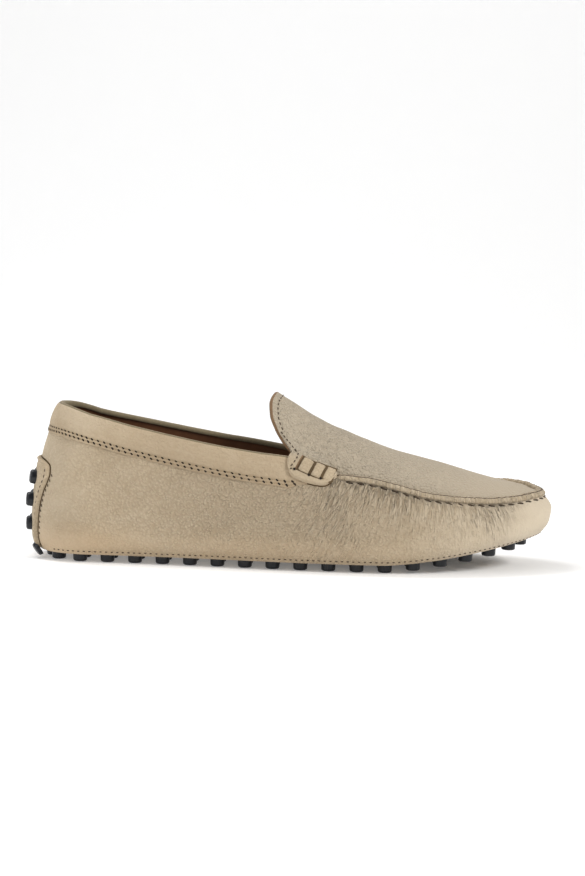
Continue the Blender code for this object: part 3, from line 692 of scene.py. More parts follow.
# Painted shade: a darker copy of the sand nubuck for the band's inside, the same leather turned in over the
# rim and seen in shade.
SHADED_FACING = nubuck(
    "facing_leather_in_shade", (0.200, 0.162, 0.098), (0.110, 0.084, 0.048), (0.280, 0.230, 0.145), 900.0, 0.00008,
    painted=False,
)
LINING = plain_leather(
    "brown_lining_leather", (0.150, 0.064, 0.028), (0.085, 0.034, 0.014), 0.58, 1300.0, 0.00005,
)
CUT_EDGE = plain_leather(
    "cut_leather_edge", (0.245, 0.150, 0.080), (0.120, 0.068, 0.034), 0.85, 1500.0, 0.00012,
)
RUBBER = rubber("black_rubber_studs")
THREAD_PALE = thread("pale_thread", (0.420, 0.315, 0.180), (0.200, 0.140, 0.075))
THREAD_DARK = thread("dark_thread", (0.085, 0.052, 0.024), (0.030, 0.018, 0.008))
# Painted shade: dark leather for the shadow lines under the tab's and wings' edges and for the sheet in the
# slots between the lace bars.
PAINTED_SHADE = plain_leather("painted_shade_leather", (0.110, 0.072, 0.034), (0.045, 0.028, 0.013), 0.85, 1500.0, 0.00008)
# Painted shade: near-black capsules stand for the shade inside needle holes and stitch slots.
HOLE_SHADE = plain_leather("needle_hole_shade", (0.020, 0.012, 0.006), (0.008, 0.005, 0.003), 0.9, 1500.0, 0.00003)
DARK = ([THREAD_DARK], "brown_lining")
NEEDLE_SHADE = ([HOLE_SHADE], "brown_lining")


# Side wall

def wall_stations():
    """Stations around the shoe, closer where the outer side is creased."""
    run = np.linspace(-HALF_GIRTH, HALF_GIRTH, 4001)
    x = wall(run, 0.5)[..., 0] + SHIFT[0]
    creased = ease(-0.020, 0.010, x) * (1 - ease(0.128, 0.140, x))
    density = 1 + np.where(run < 0, 1.9, 0.5) * creased
    gone = np.concatenate(([0.0], np.cumsum((density[1:] + density[:-1]) / 2)))
    return np.interp(np.linspace(0, gone[-1], 1080, endpoint=False), gone, run)


RING = wall_stations()
WALL_LEVELS = np.concatenate((np.linspace(-1, 0, 15)[:-1], np.linspace(0, 1, 62)))
STITCH_PITCH = 0.0064
SEAM_START = float(run_at(0.572))


def paint(points, run, level):
    """Painted shading of the wall: tone, warmth, grain, wrinkle and the wrinkles' own coordinates."""
    at = (points + SHIFT) / MM
    x, z = at[..., 0], at[..., 2]
    lateral = run < 0
    height = wall_height(run)
    drop = (1 - level) * height / MM
    toe = ease(95, 142, x)
    heel = ease(-95, -138, x)
    low = ease(26, 10, z)
    mid = np.exp(-(((x - 5) / 75) ** 2))
    # Painted light: lighter towards the toe and the heel and low down, where the floor lights the wall, and a
    # little darker in the middle; the lumps vary the tone at random.
    tone = 0.56 * toe + 0.30 * ease(60, 110, x) + 0.20 * heel + 0.10 * low - 0.04 * mid
    tone += 0.10 * lumps(x + 3 * z, 31, 4) + 0.06 * lumps(z * 2 - x, 17, 5)
    # Darker along a line 6.5 mm up, by the edge stitches.
    tone -= 0.18 * np.exp(-((z - 6.5) / 2.2) ** 2)
    # Painted light on the strip just below the raised seam, where the ridge shades the wall.
    front = ease(SEAM_START - 0.002, SEAM_START + 0.004, np.abs(run))
    tone += 0.34 * np.exp(-(((drop - 1.6) / 1.3) ** 2)) * front
    # Painted shade in the narrow creases and painted highlight on their ridges.
    tone -= 0.34 * np.clip(crease_depth(points, 2.0) / MM / 0.5, -0.7, 0.6) * ease(-1.0, -0.35, level)
    # Warmth: warmer low down at the heel; the toe and the low forefoot are painted cooler, with the pale hue
    # of the highlight and of the floor's bounce light on them.
    warm = 0.34 * low * ease(-60, -110, x) + 0.16 * low * ease(60, 20, np.abs(x + 10)) + 0.10 * low
    warm -= 0.30 * toe + 0.26 * ease(60, 90, x) * low + 0.08 * mid * (1 - low)
    grain = 0.50 + 0.50 * np.exp(-(((x - 0) / 70) ** 2)) - 0.32 * toe - 0.15 * heel
    grain = np.where(level < 0, grain * 0.8, grain)
    fan = ease(4, 30, x) * (1 - ease(112, 136, x))
    wrinkle = fan * np.exp(-np.maximum(drop - 4, 0) / 15.0)
    wrinkle += 0.25 * ease(-40, 10, x) * (1 - ease(20, 60, x))
    wrinkle *= 0.85 + 0.20 * lumps(x + 0.4 * z, 8, 6)
    lean = np.interp(x, (0, 40, 75, 110, 140), (0.75, 0.45, 0.18, -0.12, -0.45))
    flow = np.stack(((run / MM * np.where(lateral, 1, -1) + lean * z) / 1.5, z / 6.0, x * 0), axis=-1)
    return {"tone": tone, "warm": warm, "grain": grain, "wrinkle": wrinkle, "flow": flow}


def seam_gather(run, drop):
    """Dents below the raised seam where each stitch pulls the wall in."""
    phase = (np.abs(run) - SEAM_START) / STITCH_PITCH
    share = ease(SEAM_START, SEAM_START + 0.01, np.abs(run))
    pull = 0.5 + 0.5 * np.cos(2 * np.pi * phase)
    return share * pull * 0.00030 * np.exp(-np.maximum(drop - 0.0018, 0) / 0.0035)


def make_quarter():
    """The wall's outer face with its creases, gathers and turned edge."""
    run, level = RING[:, None], WALL_LEVELS[None, :]
    points = wall(run, level)
    drop = (1 - level) * wall_height(run)
    depth = crease_depth(points) * ease(-1.0, -0.35, level) + seam_gather(run, drop)
    front = ease(SEAM_START - 0.004, SEAM_START + 0.004, np.abs(run))
    depth += front * 0.00006 * np.exp(-(((drop - 0.0018) / 0.0008) ** 2))
    fold = (points[..., 2] - ground(points[..., 0])) - 0.0031
    depth += 0.00022 * np.exp(-((fold / 0.0006) ** 2))
    soft = lumps(run / MM + 0.6 * points[..., 2] / MM, 9.0, 11) + lumps(points[..., 2] / MM, 6.0, 12)
    depth += 0.00014 * soft * ease(-0.9, -0.2, level)
    skin = points - wall_normal(run, level) * depth[..., None]
    lip = wall(RING, -1.0) + (0, 0, WALL)
    grid = np.concatenate((lip[:, None, :], skin), axis=1)
    run, level = np.broadcast_arrays(run, np.concatenate(([-1.0], WALL_LEVELS))[None, :])
    faces = grid_faces(*grid.shape[:2], closed_rows=True)
    return add_mesh("quarter", grid, faces, [NUBUCK], "sand_nubuck", **paint(grid, run, level))


def make_lining():
    ring = np.linspace(-HALF_GIRTH, HALF_GIRTH, 300, endpoint=False)
    levels = np.linspace(-1, 0.985, 30)
    points = wall(ring[:, None], levels) - wall_normal(ring[:, None], levels) * WALL
    points[:, 0] = wall(ring, -1.0) + (0, 0, WALL)
    faces = grid_faces(*points.shape[:2], closed_rows=True)
    add_mesh("lining", points, faces, [LINING], "brown_lining")


# Collar band: distance below the top and distance out, in mm, from its lower edge over the rim and inside
BAND_PROFILE = (
    (16.55, -0.30), (16.55, 0.40), (16.35, 0.78), (15.95, 0.92), (15.50, 0.80), (15.15, 0.58), (14.80, 0.84),
    (14.30, 1.02), (13.75, 0.86), (13.35, 0.60), (12.95, 0.90), (12.20, 1.22), (11.0, 1.48), (9.2, 1.66),
    (7.0, 1.74), (4.8, 1.68), (3.0, 1.50), (1.7, 1.18), (0.75, 0.70), (0.15, 0.02), (-0.10, -0.75),
    (-0.10, -1.45), (0.15, -2.10), (0.60, -2.62), (1.2, -2.88), (1.6, -2.94), (2.0, -2.90), (2.35, -2.70),
    (2.45, -2.3), (2.45, -1.8),
)
BAND_END = float(run_at(0.526))
ROW_DROPS = (0.01335, 0.01515)


def band_foot(share):
    """How much the band's lower edge rises towards its end under the wing."""
    return 0.0055 * ease(0.488, 0.526, share)


def band_place(run, drop, out):
    """A point of the band; its lower part rises and its puff fades under the wing."""
    share = share_at(run)
    rise = band_foot(share) * np.clip(drop / BAND_DEPTH, 0, 1) ** 2
    puff = np.where(out > 0, 1 - 0.42 * ease(0.470, 0.492, share), 1.0)
    return on_wall(run, drop - rise, out * puff)


def make_band():
    run = np.linspace(-BAND_END, BAND_END, 500)[:, None]
    along = run / MM
    profile = np.array(BAND_PROFILE) * MM
    stops = lengths(profile)
    at = np.linspace(0, stops[-1], 64)
    drop, out = [np.interp(at, stops, profile[:, k]) + 0 * run for k in (0, 1)]
    soft = 0.00010 * lumps(along, 14, 21) + 0.00006 * lumps(along + drop / MM, 5, 22)
    points = band_place(run, drop, out + np.where(out > 0.0009, soft, 0))
    faces = grid_faces(*drop.shape)
    # The inner faces take the darker copy of the nubuck: painted shade.
    inside = [int(face[0] % len(at) > len(at) * 0.70) for face in faces]
    # Painted light: a highlight on the puff over the rim and a lighter patch by the heel, where the rounded
    # rim catches the light; darker over the rest and below 12 mm down, and the lumps vary it at random.
    tone = -0.24 + 0.14 * ease(0.0, 0.0025, 0.006 - np.abs(drop - 0.004)) - 0.20 * ease(0.0118, 0.0128, drop)
    tone += 0.42 * np.exp(-(((share_at(run) - 0.085) / 0.07) ** 2)) + 0.10 * lumps(along, 23, 23)
    flow = np.stack((along / 3.0 + 0 * drop, drop / MM / 1.1, 0 * drop), axis=-1)
    look = {"tone": tone, "warm": 0.14, "grain": 0.30, "wrinkle": 0.10, "flow": flow}
    add_mesh("collar_band", points, faces, [NUBUCK, SHADED_FACING], "sand_nubuck", inside, **look)


def make_band_stitches():
    """Two rows of close stitches: pale threads between needle holes of painted shade that slant from row to
    row.
    """
    end = float(run_at(0.504))
    places = [0.0]
    while places[-1] < end:
        places.append(places[-1] + 0.0031 + 0.0011 * float(share_at(places[-1])) / 0.5)
    places = np.array(places[1:-1])

    def stand(run, drop, lift):
        centres = band_place(run, drop, lift)
        ahead = unit(band_place(run + 0.0005, drop, lift) - centres)
        return centres, ahead, wall_normal(run, 1 - drop / wall_height(run))

    for row, drop in enumerate(ROW_DROPS):
        shifted = places + (0.0006 if row else -0.0006)
        run = np.concatenate((-shifted[::-1], shifted))
        lift = np.full(run.shape, 0.00064)
        centres, ahead, normal = stand(run, drop, lift)
        slant = unit(band_place(run, drop + 0.0006, lift) - centres) + 0.80 * ahead * side_of(run)[:, None]
        seeds(f"collar_stitch_holes_{row + 1}", centres, slant, normal, 0.0025, 0.00064, *NEEDLE_SHADE, flat=0.55)
        seeds(
            f"collar_stitch_threads_{row + 1}", *stand((run[1:] + run[:-1]) / 2, drop, lift[1:] + 0.0001),
            np.diff(run) * 0.80, 0.00030, [THREAD_PALE], "sand_nubuck", sink=0.00030,
        )


# Apron with the tongue

THROAT_RUN = float(run_at(THROAT_SHARE))
APRON_RUNS = THROAT_RUN + (HALF_GIRTH - THROAT_RUN) * (1 - (1 - np.linspace(0, 1, 170)) ** 1.25)
APRON_ACROSS = np.sin(np.linspace(-1, 1, 97) * np.pi / 2)
APRON_THICKNESS = 0.0017


def apron_grid(runs=APRON_RUNS, across=APRON_ACROSS):
    points = apron(runs[:, None], across[None, :])
    near = runs > HALF_GIRTH - 1e-6
    points[near] = apron_edge(HALF_GIRTH)
    return points


APRON_WARMTH = -0.60


def apron_paint(x, y):
    """Tone and grain of the apron at places in mm; the tone holds painted shade."""
    # Painted shade: darker all over, more towards the toe and on the far front; lighter by the throat on the
    # outer side; the lumps vary it at random.
    tone = 0.02 * lumps(x, 25, 34) + 0.08 * lumps(x + y, 14, 35) - 0.12 * ease(40, 70, x) * ease(-30, 0, y)
    tone += 0.14 * np.exp(-(((x + 2) / 14) ** 2)) * ease(0, -30, y) - 0.10 - 0.30 * ease(45, 90, x)
    grain = 0.70 + 0.50 * np.exp(-(((x - 25) / 40) ** 2)) - 0.45 * ease(70, 120, x)
    return tone, grain


def make_apron():
    """The apron, with its lining and the cut edge at the throat."""
    top = apron_grid()
    normals = upright(top[:-1])
    normals = np.concatenate((normals, normals[-1:]))
    x, y, _ = np.moveaxis((top + SHIFT) / MM, -1, 0)
    dents = 0.00009 * lumps(x + 1.4 * y, 13, 31) * lumps(x - 0.8 * y, 11, 32)
    edge = (1 - np.abs(APRON_ACROSS)) * 30
    pull = 0.00030 * np.exp(-(edge / 3.0) ** 2) * lumps(APRON_RUNS / MM, 2.6, 33)[:, None]
    hump = 0.00035 * np.exp(-(((x - 20) / 9) ** 2 + ((y + 14) / 8) ** 2))
    top = top + normals * (dents + pull - hump)[..., None]
    low = top - normals * APRON_THICKNESS
    back = unit(np.gradient(top, axis=0)[0])
    low[0] -= back * 0.0013
    rows, columns = top.shape[:2]
    count = rows * columns
    sheet = grid_faces(rows, columns)
    faces = sheet + grid_faces(rows, columns, count)
    cut = [top[0] * (1 - t) + low[0] * t - back * 0.00035 * math.sin(math.pi * t) for t in (0.12, 0.5, 0.88)]
    chain = [0] + [2 * count + k * columns for k in range(len(cut))] + [count]
    for a, b in zip(chain, chain[1:]):
        faces += [(a + k, a + k + 1, b + k + 1, b + k) for k in range(columns - 1)]
    kinds = [0] * len(sheet) + [1] * len(sheet) + [2] * (len(faces) - 2 * len(sheet))
    verts = np.concatenate((top.reshape(-1, 3), low.reshape(-1, 3), *cut))
    tone, grain = apron_paint(x, y)
    wrinkle = 0.26 * np.exp(-((x - 18) / 22) ** 2) * np.exp(-(edge / 16) ** 2)
    flow = np.stack(((x + 0.9 * y) / 2.2, (y - 0.3 * x) / 6, 0 * x), axis=-1)
    look = {"tone": tone, "warm": APRON_WARMTH, "grain": grain, "wrinkle": wrinkle, "flow": flow}
    add_mesh("apron", verts, faces, [NUBUCK, LINING, CUT_EDGE], "sand_nubuck", kinds, **look)


def throat_line(inset):
    """Points and normals of a line on the tongue, an inset from its cut edge, and round its corners."""
    grid = apron((THROAT_RUN + np.linspace(0, 0.020, 60))[:, None], np.linspace(-0.985, 0.985, 260)[None, :])
    gone = lengths(grid)
    columns = range(grid.shape[1])
    line, ups = [
        np.array([[np.interp(inset, gone[:, k], table[:, k, c]) for c in range(3)] for k in columns])
        for table in (grid, upright(grid))
    ]
    return line, unit(ups)


# Raised apron seam


def make_seam():
    """The pleated ridge around the toe, where wall and apron are gathered together."""
    run = np.linspace(SEAM_START - 2 * HALF_GIRTH, -SEAM_START, 1000)
    distance = (HALF_GIRTH - SEAM_START - np.abs(run + HALF_GIRTH))[:, None]
    foot_out = wall(run, 1 - 0.0014 / wall_height(run))
    foot_in = apron_edge(run) - (0, 0, 0.0003)
    stand = seam_direction(run)
    side = unit(np.cross(stand, unit(wall(run + 0.002, 1.0) - wall(run - 0.002, 1.0))))
    side[np.sum(side[:, :2] * outward(run), axis=1) < 0] *= -1
    turn = np.linspace(0, np.pi, 34)
    t, sine = turn / np.pi, np.sin(turn)
    fade = ease(0.0, 0.007, distance)
    pleat = lumps(distance / MM, 1.25, 41) + 0.6 * lumps(distance / MM, 0.75, 42)
    swell = 0.5 - 0.5 * np.cos(2 * np.pi * distance / STITCH_PITCH)
    ridge = RIDGE_HEIGHT * (0.96 + 0.05 * swell + 0.05 * pleat) * (0.35 + 0.65 * fade) * sine ** 0.62
    bulge = RIDGE_WIDTH * 0.34 * (1 + 0.25 * swell + 0.34 * pleat) * (0.5 + 0.5 * fade)
    base = foot_out[:, None, :] * (1 - t)[:, None] + foot_in[:, None, :] * t[:, None]
    points = base + stand[:, None, :] * ridge[..., None]
    points += side[:, None, :] * (bulge * np.cos(turn) * sine ** 0.35)[..., None]
    fine = lumps(distance / MM + 0.35 * np.sin(3 * t), 0.9, 43)
    normals = grid_normals(points)
    normals[np.sum(normals * (points - base), axis=-1) < 0] *= -1
    # Painted light and shade: lighter on the crest and on the swelling pleats, painted shade at both feet of
    # the ridge, and darker along the groove by the crest.
    groove = np.exp(-(((t - 0.51) / 0.035) ** 2)) * fade
    points = points + normals * (0.00014 * fine * sine - 0.00040 * groove)[..., None]
    tone = 0.06 + 0.06 * swell + 0.16 * pleat + 0.10 * sine - 1.2 * groove
    tone = tone - 0.30 * ease(0.84, 0.98, t) - 0.06 * ease(0.12, 0.0, t)
    flow = np.stack((distance / MM / 0.9 + 0 * t, 1.5 * t + 0 * distance, 0 * tone), axis=-1)
    up = stand[6:-6]
    cord("seam_inner_line", points[6:-6, 16] + up * 0.00008, up, 0.00038, *DARK, flat=0.7)
    faces = grid_faces(*tone.shape)
    faces += [tuple(range(len(t))), tuple(range(tone.size - len(t), tone.size))]
    look = {"tone": tone, "warm": 0.05, "grain": 0.25, "wrinkle": 0.55, "flow": flow}
    add_mesh("apron_seam", points, faces, [NUBUCK], "sand_nubuck", **look)


def make_seam_stitches():
    """Dark stitches at the foot of the raised seam."""
    half = HALF_GIRTH - SEAM_START
    count = int(2 * half / STITCH_PITCH)
    run = SEAM_START - 2 * HALF_GIRTH + (np.arange(1, count - 1) + 0.5) * 2 * half / count
    drop = 0.0021
    low = on_wall(run, drop, -0.00008)
    along = on_wall(run + 0.001, drop - 0.00012, -0.00008) - low
    normal = wall_normal(run, 1 - drop / wall_height(run))
    # Dark slots: painted shade of the slits that the threads lie in.
    seeds("seam_stitch_slots", low, along, normal, 0.0040, 0.00062, *NEEDLE_SHADE, flat=0.6, rings=7)
    seeds(
        "seam_stitch_threads", low + normal * 0.00026, along, normal, 0.0033, 0.00042, *DARK, sink=0.00035,
        sides=8, rings=7,
    )


def make_bottom_stitches():
    """Small dark stitches just over the turned edge."""
    run = np.concatenate((np.linspace(-HALF_GIRTH, -0.012, 900), np.linspace(0.012, HALF_GIRTH, 900)))
    height = ground(wall(run, -1.0)[..., 0]) + 0.0021
    points, normals = off_wall(run, level_of(run, height), 0.00004)
    for side, word in SIDES:
        part = (side * run > 0) & (share_at(run) > 0.035)
        place = (points[part], normals[part])
        rows_of(f"edge_stitches_{word}", *place, 0.00305, 0.0016, 0.00034, *DARK, sink=0.00022)


# Corner wings with their lace bars

WING_SHARES = np.linspace(0.4865, 0.580, 90)
CORNER_STEPS = np.arange(-15.0, 10.01, 0.5) * MM


def corner_surface(side):
    """Points over the corner from the wall (below 0) up onto the apron (above 0), and their normals."""
    run = side * run_at(np.linspace(0.480, 0.600, 120))
    grid = np.zeros((len(run), len(CORNER_STEPS), 3))
    for j, step in enumerate(CORNER_STEPS):
        if step <= 0:
            grid[:, j] = wall(run, 1 + step / wall_height(run))
        else:
            away = np.maximum(np.abs(run), THROAT_RUN + 1e-5)
            half = np.linalg.norm(apron_edge(away) - apron_edge(-away), axis=-1) / 2
            across = 1 - np.maximum(step - RIDGE_FOOT, 0) / half
            spot = apron(away, side * across)
            blend_in = min(step / RIDGE_FOOT, 1.0)
            edge = wall(run, 1.0)
            grid[:, j] = edge * (1 - blend_in) + spot * blend_in
    for _ in range(10):
        grid[:, 1:-1] = (grid[:, :-2] + 2 * grid[:, 1:-1] + grid[:, 2:]) / 4
    normals = grid_normals(grid)
    out = np.concatenate((outward(run), np.full((len(run), 1), 0.5)), axis=1)
    flip = np.sum(normals * out[:, None, :], axis=-1) < 0
    normals[flip] *= -1
    return run, grid, normals


CORNERS = {side: corner_surface(side) for side in (-1, 1)}


def on_corner(side, run, step, lift):
    """A point of the corner at a run (unsigned) and a step up over the wall's top, lifted."""
    runs, grid, normals = CORNERS[side]
    run, step, lift = np.broadcast_arrays(run, step, lift)
    i = np.interp(run, np.abs(runs), np.arange(len(runs)))
    j = np.interp(step, CORNER_STEPS, np.arange(len(CORNER_STEPS)))
    i0 = np.clip(np.floor(i).astype(int), 0, len(runs) - 2)
    j0 = np.clip(np.floor(j).astype(int), 0, len(CORNER_STEPS) - 2)
    fi, fj = (i - i0)[..., None], (j - j0)[..., None]

    def mixed(table):
        low = table[i0, j0] * (1 - fi) + table[i0 + 1, j0] * fi
        high = table[i0, j0 + 1] * (1 - fi) + table[i0 + 1, j0 + 1] * fi
        return low * (1 - fj) + high * fj

    normal = unit(mixed(normals))
    return mixed(grid) + normal * lift[..., None], normal


def make_wing(side, word):
    """A wing's skin with its rolled border, and a painted shadow line under its lower edge."""
    run = run_at(WING_SHARES)[:, None]
    share = WING_SHARES[:, None]
    depth = 0.0022 + 0.0085 * wing_depth(share) - 0.0024 * ease(0.564, 0.580, share)
    reach = 0.0030 + 0.0035 * ease(0.4865, 0.500, share) - 0.0030 * ease(0.560, 0.580, share)
    step = -depth + (depth + reach) * np.linspace(0, 1, 46)
    border = np.minimum(np.minimum(step + depth, (run - run[0]) * 1.3 + 0.0002), run[-1] - run + 0.0004)
    roll = 0.00055 * np.exp(-(((border - 0.0012) / 0.0008) ** 2)) + 0.00105 * ease(0, 0.0009, border)
    fade = ease(reach, reach - 0.0030, step)
    lift = 0.00125 + roll * fade - 0.0011 * (1 - fade)
    verts, faces = plate(on_corner(side, run, step, 0.0001)[0], on_corner(side, run, step, lift)[0])
    tone, grain = apron_paint(*((verts + SHIFT) / MM)[:, :2].T)
    upper = np.tile(ease(-0.003, 0.004, step.ravel()), 2)
    # A dark cord under the wing's lower edge: painted shadow of its raised border.
    line = on_corner(side, run[:-6, 0], -depth[:-6, 0] - 0.0003, 0.00016)
    cord(f"wing_shadow_line_{word}", *line, 0.00040, [PAINTED_SHADE], "brown_lining", flat=0.6)
    look = {
        "tone": tone * upper + 0.06 * (1 - upper), "warm": APRON_WARMTH * upper,
        "grain": grain * upper + 0.30 * (1 - upper),
    }
    piece = add_mesh(f"wing_skin_{word}", verts, faces, [NUBUCK], "sand_nubuck", **look)
    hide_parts(f"wing_{word}")


# Lace bars: middle along the wing, width, lower end and upper end, all in mm
BARS = ((9.9, 5.5, -6.0, 1.7), (16.3, 4.9, -5.3, 2.6), (22.4, 4.9, -4.6, 2.9))
BAR_LEAN = 0.37
WING_START = float(run_at(0.4865))
# Places of the hook of stitches in mm along the wing and up it
HOOK = (
    (3.8, 7.4), (4.2, 6.2), (4.6, 5.0), (5.0, 3.3), (5.2, 1.6), (4.7, -0.8), (3.6, -3.0), (2.3, -5.0),
    (2.0, -6.8), (3.1, -6.0),
)


def on_bars(side, middle, step, lift):
    """A point of a bar that leans forward as it rises, in mm along the wing and up it."""
    return on_corner(side, WING_START + (middle + BAR_LEAN * (step + 2.0)) * MM, step * MM, lift)


def make_bars(side, word):
    """Three flat lace bars on the wing, over a dark sheet of painted shade in the slots that they pass
    through.
    """
    u = np.linspace(-1, 1, 17)[:, None]
    v = np.linspace(0, 1, 21)[None, :]
    for number, (middle, width, start, stop) in enumerate(BARS):
        step = start + (stop - start) * v
        ends = np.minimum(ease(0, 0.12, v), ease(1, 0.88, v))
        lift = 0.0021 + 0.0010 * (1 - np.abs(u) ** 5) * (0.20 + 0.80 * ends)
        lift = lift + 0.00008 * lumps(u * 3 + v * 7, 1.0, 61 + number)
        low, high = [on_bars(side, middle + u * width / 2, step, rise)[0] for rise in (0.0014, lift)]
        piece = add_mesh(f"bar_{word}_{number + 1}", *plate(low, high), [NUBUCK_SMALL], "sand_nubuck")
        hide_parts(f"lace_bar_{word}_{number + 1}")
    # A dark sheet under the bars: painted shade in the slots between them.
    across = np.linspace(6.4, 25.4, 60)[:, None]
    knots, _, starts, stops = zip(*BARS)
    start = np.interp(across, knots, starts) - 0.55
    stop = np.interp(across, knots, stops) + 0.40
    step = start + (stop - start) * np.linspace(0, 1, 26)
    low, high = [on_bars(side, across, step, rise)[0] for rise in (0.0016, 0.00232)]
    add_mesh(f"bar_slots_{word}", *plate(low, high), [PAINTED_SHADE], "brown_lining")
    frame_line = on_bars(side, 6.1, np.linspace(-6.6, 2.0, 14), 0.0024)
    cord(f"bar_frame_{word}", *frame_line, 0.00034, [CUT_EDGE], "brown_lining", flat=0.8)
    # Needle holes of painted shade.
    dots, normals = on_bars(side, np.array((13.3, 19.3, 5.7)), np.array((-6.0, -5.0, -6.4)), 0.0026)
    slant = np.tile((1.0, 0.0, -0.3), (3, 1))
    seeds(f"bar_holes_{word}", dots, slant, normals, 0.0015, 0.00072, *NEEDLE_SHADE, flat=0.6, sides=10)


# Heel tab

# Stitch rows: name, first place, distance from the border, lift, pitch, radius and turn
TAB_ROWS = (
    ("tab_stitches", 0, -0.0031, 0.00158, 0.0033, 0.00030, 0.0),
    ("tab_edge_stitches", 20, 0.0020, 0.00010, 0.0031, 0.00036, 0.75),
)


def tab_path(away):
    """The tab's border from its outer foot over its top to its inner foot, moved out by a distance."""
    rise = np.concatenate((np.linspace(0.080, 0.600, 110), np.linspace(0.603, 0.642, 40)))
    side = np.column_stack((-TAB_HALF_WIDTH * tab_half(rise), rise * HEEL_HEIGHT))
    line = np.concatenate((side, side[::-1] * np.array((-1, 1))))
    along = unit(np.gradient(line, axis=0))
    line = line + np.column_stack((-along[:, 1], along[:, 0])) * away
    return line[:, 0], level_of(line[:, 0], line[:, 1])


def make_heel_tab():
    heights = np.concatenate((np.linspace(0.075, 0.60, 60), np.linspace(0.602, 0.641, 22)))[:, None]
    half = TAB_HALF_WIDTH * tab_half(heights)
    across = np.sin(np.linspace(-1, 1, 61) * np.pi / 2)
    run = half * across
    level = level_of(run, heights * HEEL_HEIGHT)
    border = np.minimum(half * (1 - np.abs(across)), (0.643 - heights) * HEEL_HEIGHT)
    roll = 0.00062 * np.exp(-(((border - 0.0011) / 0.0008) ** 2)) + 0.0010 * ease(0, 0.0007, border)
    trough = 0.00022 * np.exp(-(((border - 0.0031) / 0.0005) ** 2))
    soft = 0.00006 * lumps(run / MM, 5, 51) + 0.00008 * lumps(level * 40, 4, 52)
    low, high = [off_wall(run, level, lift)[0] for lift in (0.0001, GAP + 0.00035 + roll - trough + soft)]
    piece = add_mesh("heel_tab_skin", *plate(low, high), [NUBUCK_SMALL], "sand_nubuck")
    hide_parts("heel_tab")
    # A dark cord along the tab's border: painted shadow of its raised edge.
    line = off_wall(*tab_path(0.00035), 0.00012)
    cord("tab_shadow_line", *line, 0.00050, [PAINTED_SHADE], "brown_lining", flat=0.6)
    rise = np.linspace(0.085, 0.585, 160)
    for side, word in SIDES:
        for name, first, away, lift, pitch, radius, turn in TAB_ROWS:
            run = side * (TAB_HALF_WIDTH * tab_half(rise[first:]) + away)
            points, normal = off_wall(run, level_of(run, rise[first:] * HEEL_HEIGHT), lift)
            more = {"turn": turn, "sink": 0.00030}
            rows_of(f"{name}_{word}", points, normal, pitch, 0.0022, radius, *DARK, **more)


# Rubber


def stud_profile(radius, tip, height, rim):
    """Radius and height of a round stud with a rounded rim and a slightly domed end."""
    rounding = [
        (tip - rim + rim * math.sin(a), height - rim + rim * math.cos(a))
        for a in np.linspace(math.pi / 2, 0.15, 6)
    ]
    dome = [((tip - rim) * k, height + 0.00016 * (1 - k * k)) for k in (0.7, 0.35, 0.0)]
    return [(radius, 0.0)] + rounding + dome


def studs(name, bases, axes, profile, sides=26):
    """Round studs from their bases along their axes."""
    helper = np.where(np.abs(axes[:, 2:]) > 0.9, np.array((1.0, 0, 0)), np.array((0, 0, 1.0)))
    across = unit(np.cross(axes, helper))
    other = np.cross(axes, across)
    turns = np.linspace(0, 2 * np.pi, sides, endpoint=False)
    radii, heights = [np.array(column)[:, None] for column in zip(*profile)]
    verts = (
        bases[:, None, None, :]
        + axes[:, None, None, :] * heights[..., None]
        + across[:, None, None, :] * (radii * np.cos(turns))[..., None]
        + other[:, None, None, :] * (radii * np.sin(turns))[..., None]
    )
    faces = []
    for start in range(0, len(bases) * len(profile) * sides, len(profile) * sides):
        faces += grid_faces(len(profile), sides, start, closed_columns=True)
        faces.append(tuple(range(start, start + sides)))
    return add_mesh(name, verts, faces, [RUBBER], "black_rubber")


def make_heel_studs():
    """The rubber pebbles on the tab; the lowest pair is worn flatter."""
    for number, ((height, away), lift) in enumerate(zip(HEEL_PEBBLES, HEEL_PEBBLE_LIFTS)):
        run = np.array((-away, away))
        bases, axes = off_wall(run, level_of(run, height * HEEL_HEIGHT), TAB_THICKNESS - 0.0002)
        profile = stud_profile(HEEL_PEBBLE_RADIUS, HEEL_PEBBLE_RADIUS * 0.95, lift + 0.0008, 0.0014)
        piece = studs(f"heel_studs_{number + 1}", bases, axes, profile)
        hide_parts(f"heel_pebble_{2 * number + 1}", f"heel_pebble_{2 * number + 2}")


def bottom_ring(inset, runs=None):
    if runs is None:
        runs = np.linspace(-HALF_GIRTH, HALF_GIRTH, 400, endpoint=False)
    tuck = SECTION["tuck"](share_at(runs)) * BALL_WIDTH
    return outline(runs) - outward(runs) * (tuck + inset)[:, None]


def source_ring():
    """The stations of the CAD source's rings, so that the studs stand where its pebbles are."""
    rear = [THROAT_RUN * k / 17 for k in range(17)]
    front = [THROAT_RUN + (HALF_GIRTH - THROAT_RUN) * k / 19 for k in range(20)]
    stations = rear + front
    return np.array([-run for run in reversed(stations[1:])] + stations[:-1])


def crossings(loop, x):
    found = []
    for a, b in zip(loop, np.roll(loop, -1, axis=0)):
        if (a[0] > x) != (b[0] > x):
            found.append(float(a[1] + (x - a[0]) / (b[0] - a[0]) * (b[1] - a[1])))
    return sorted(found)


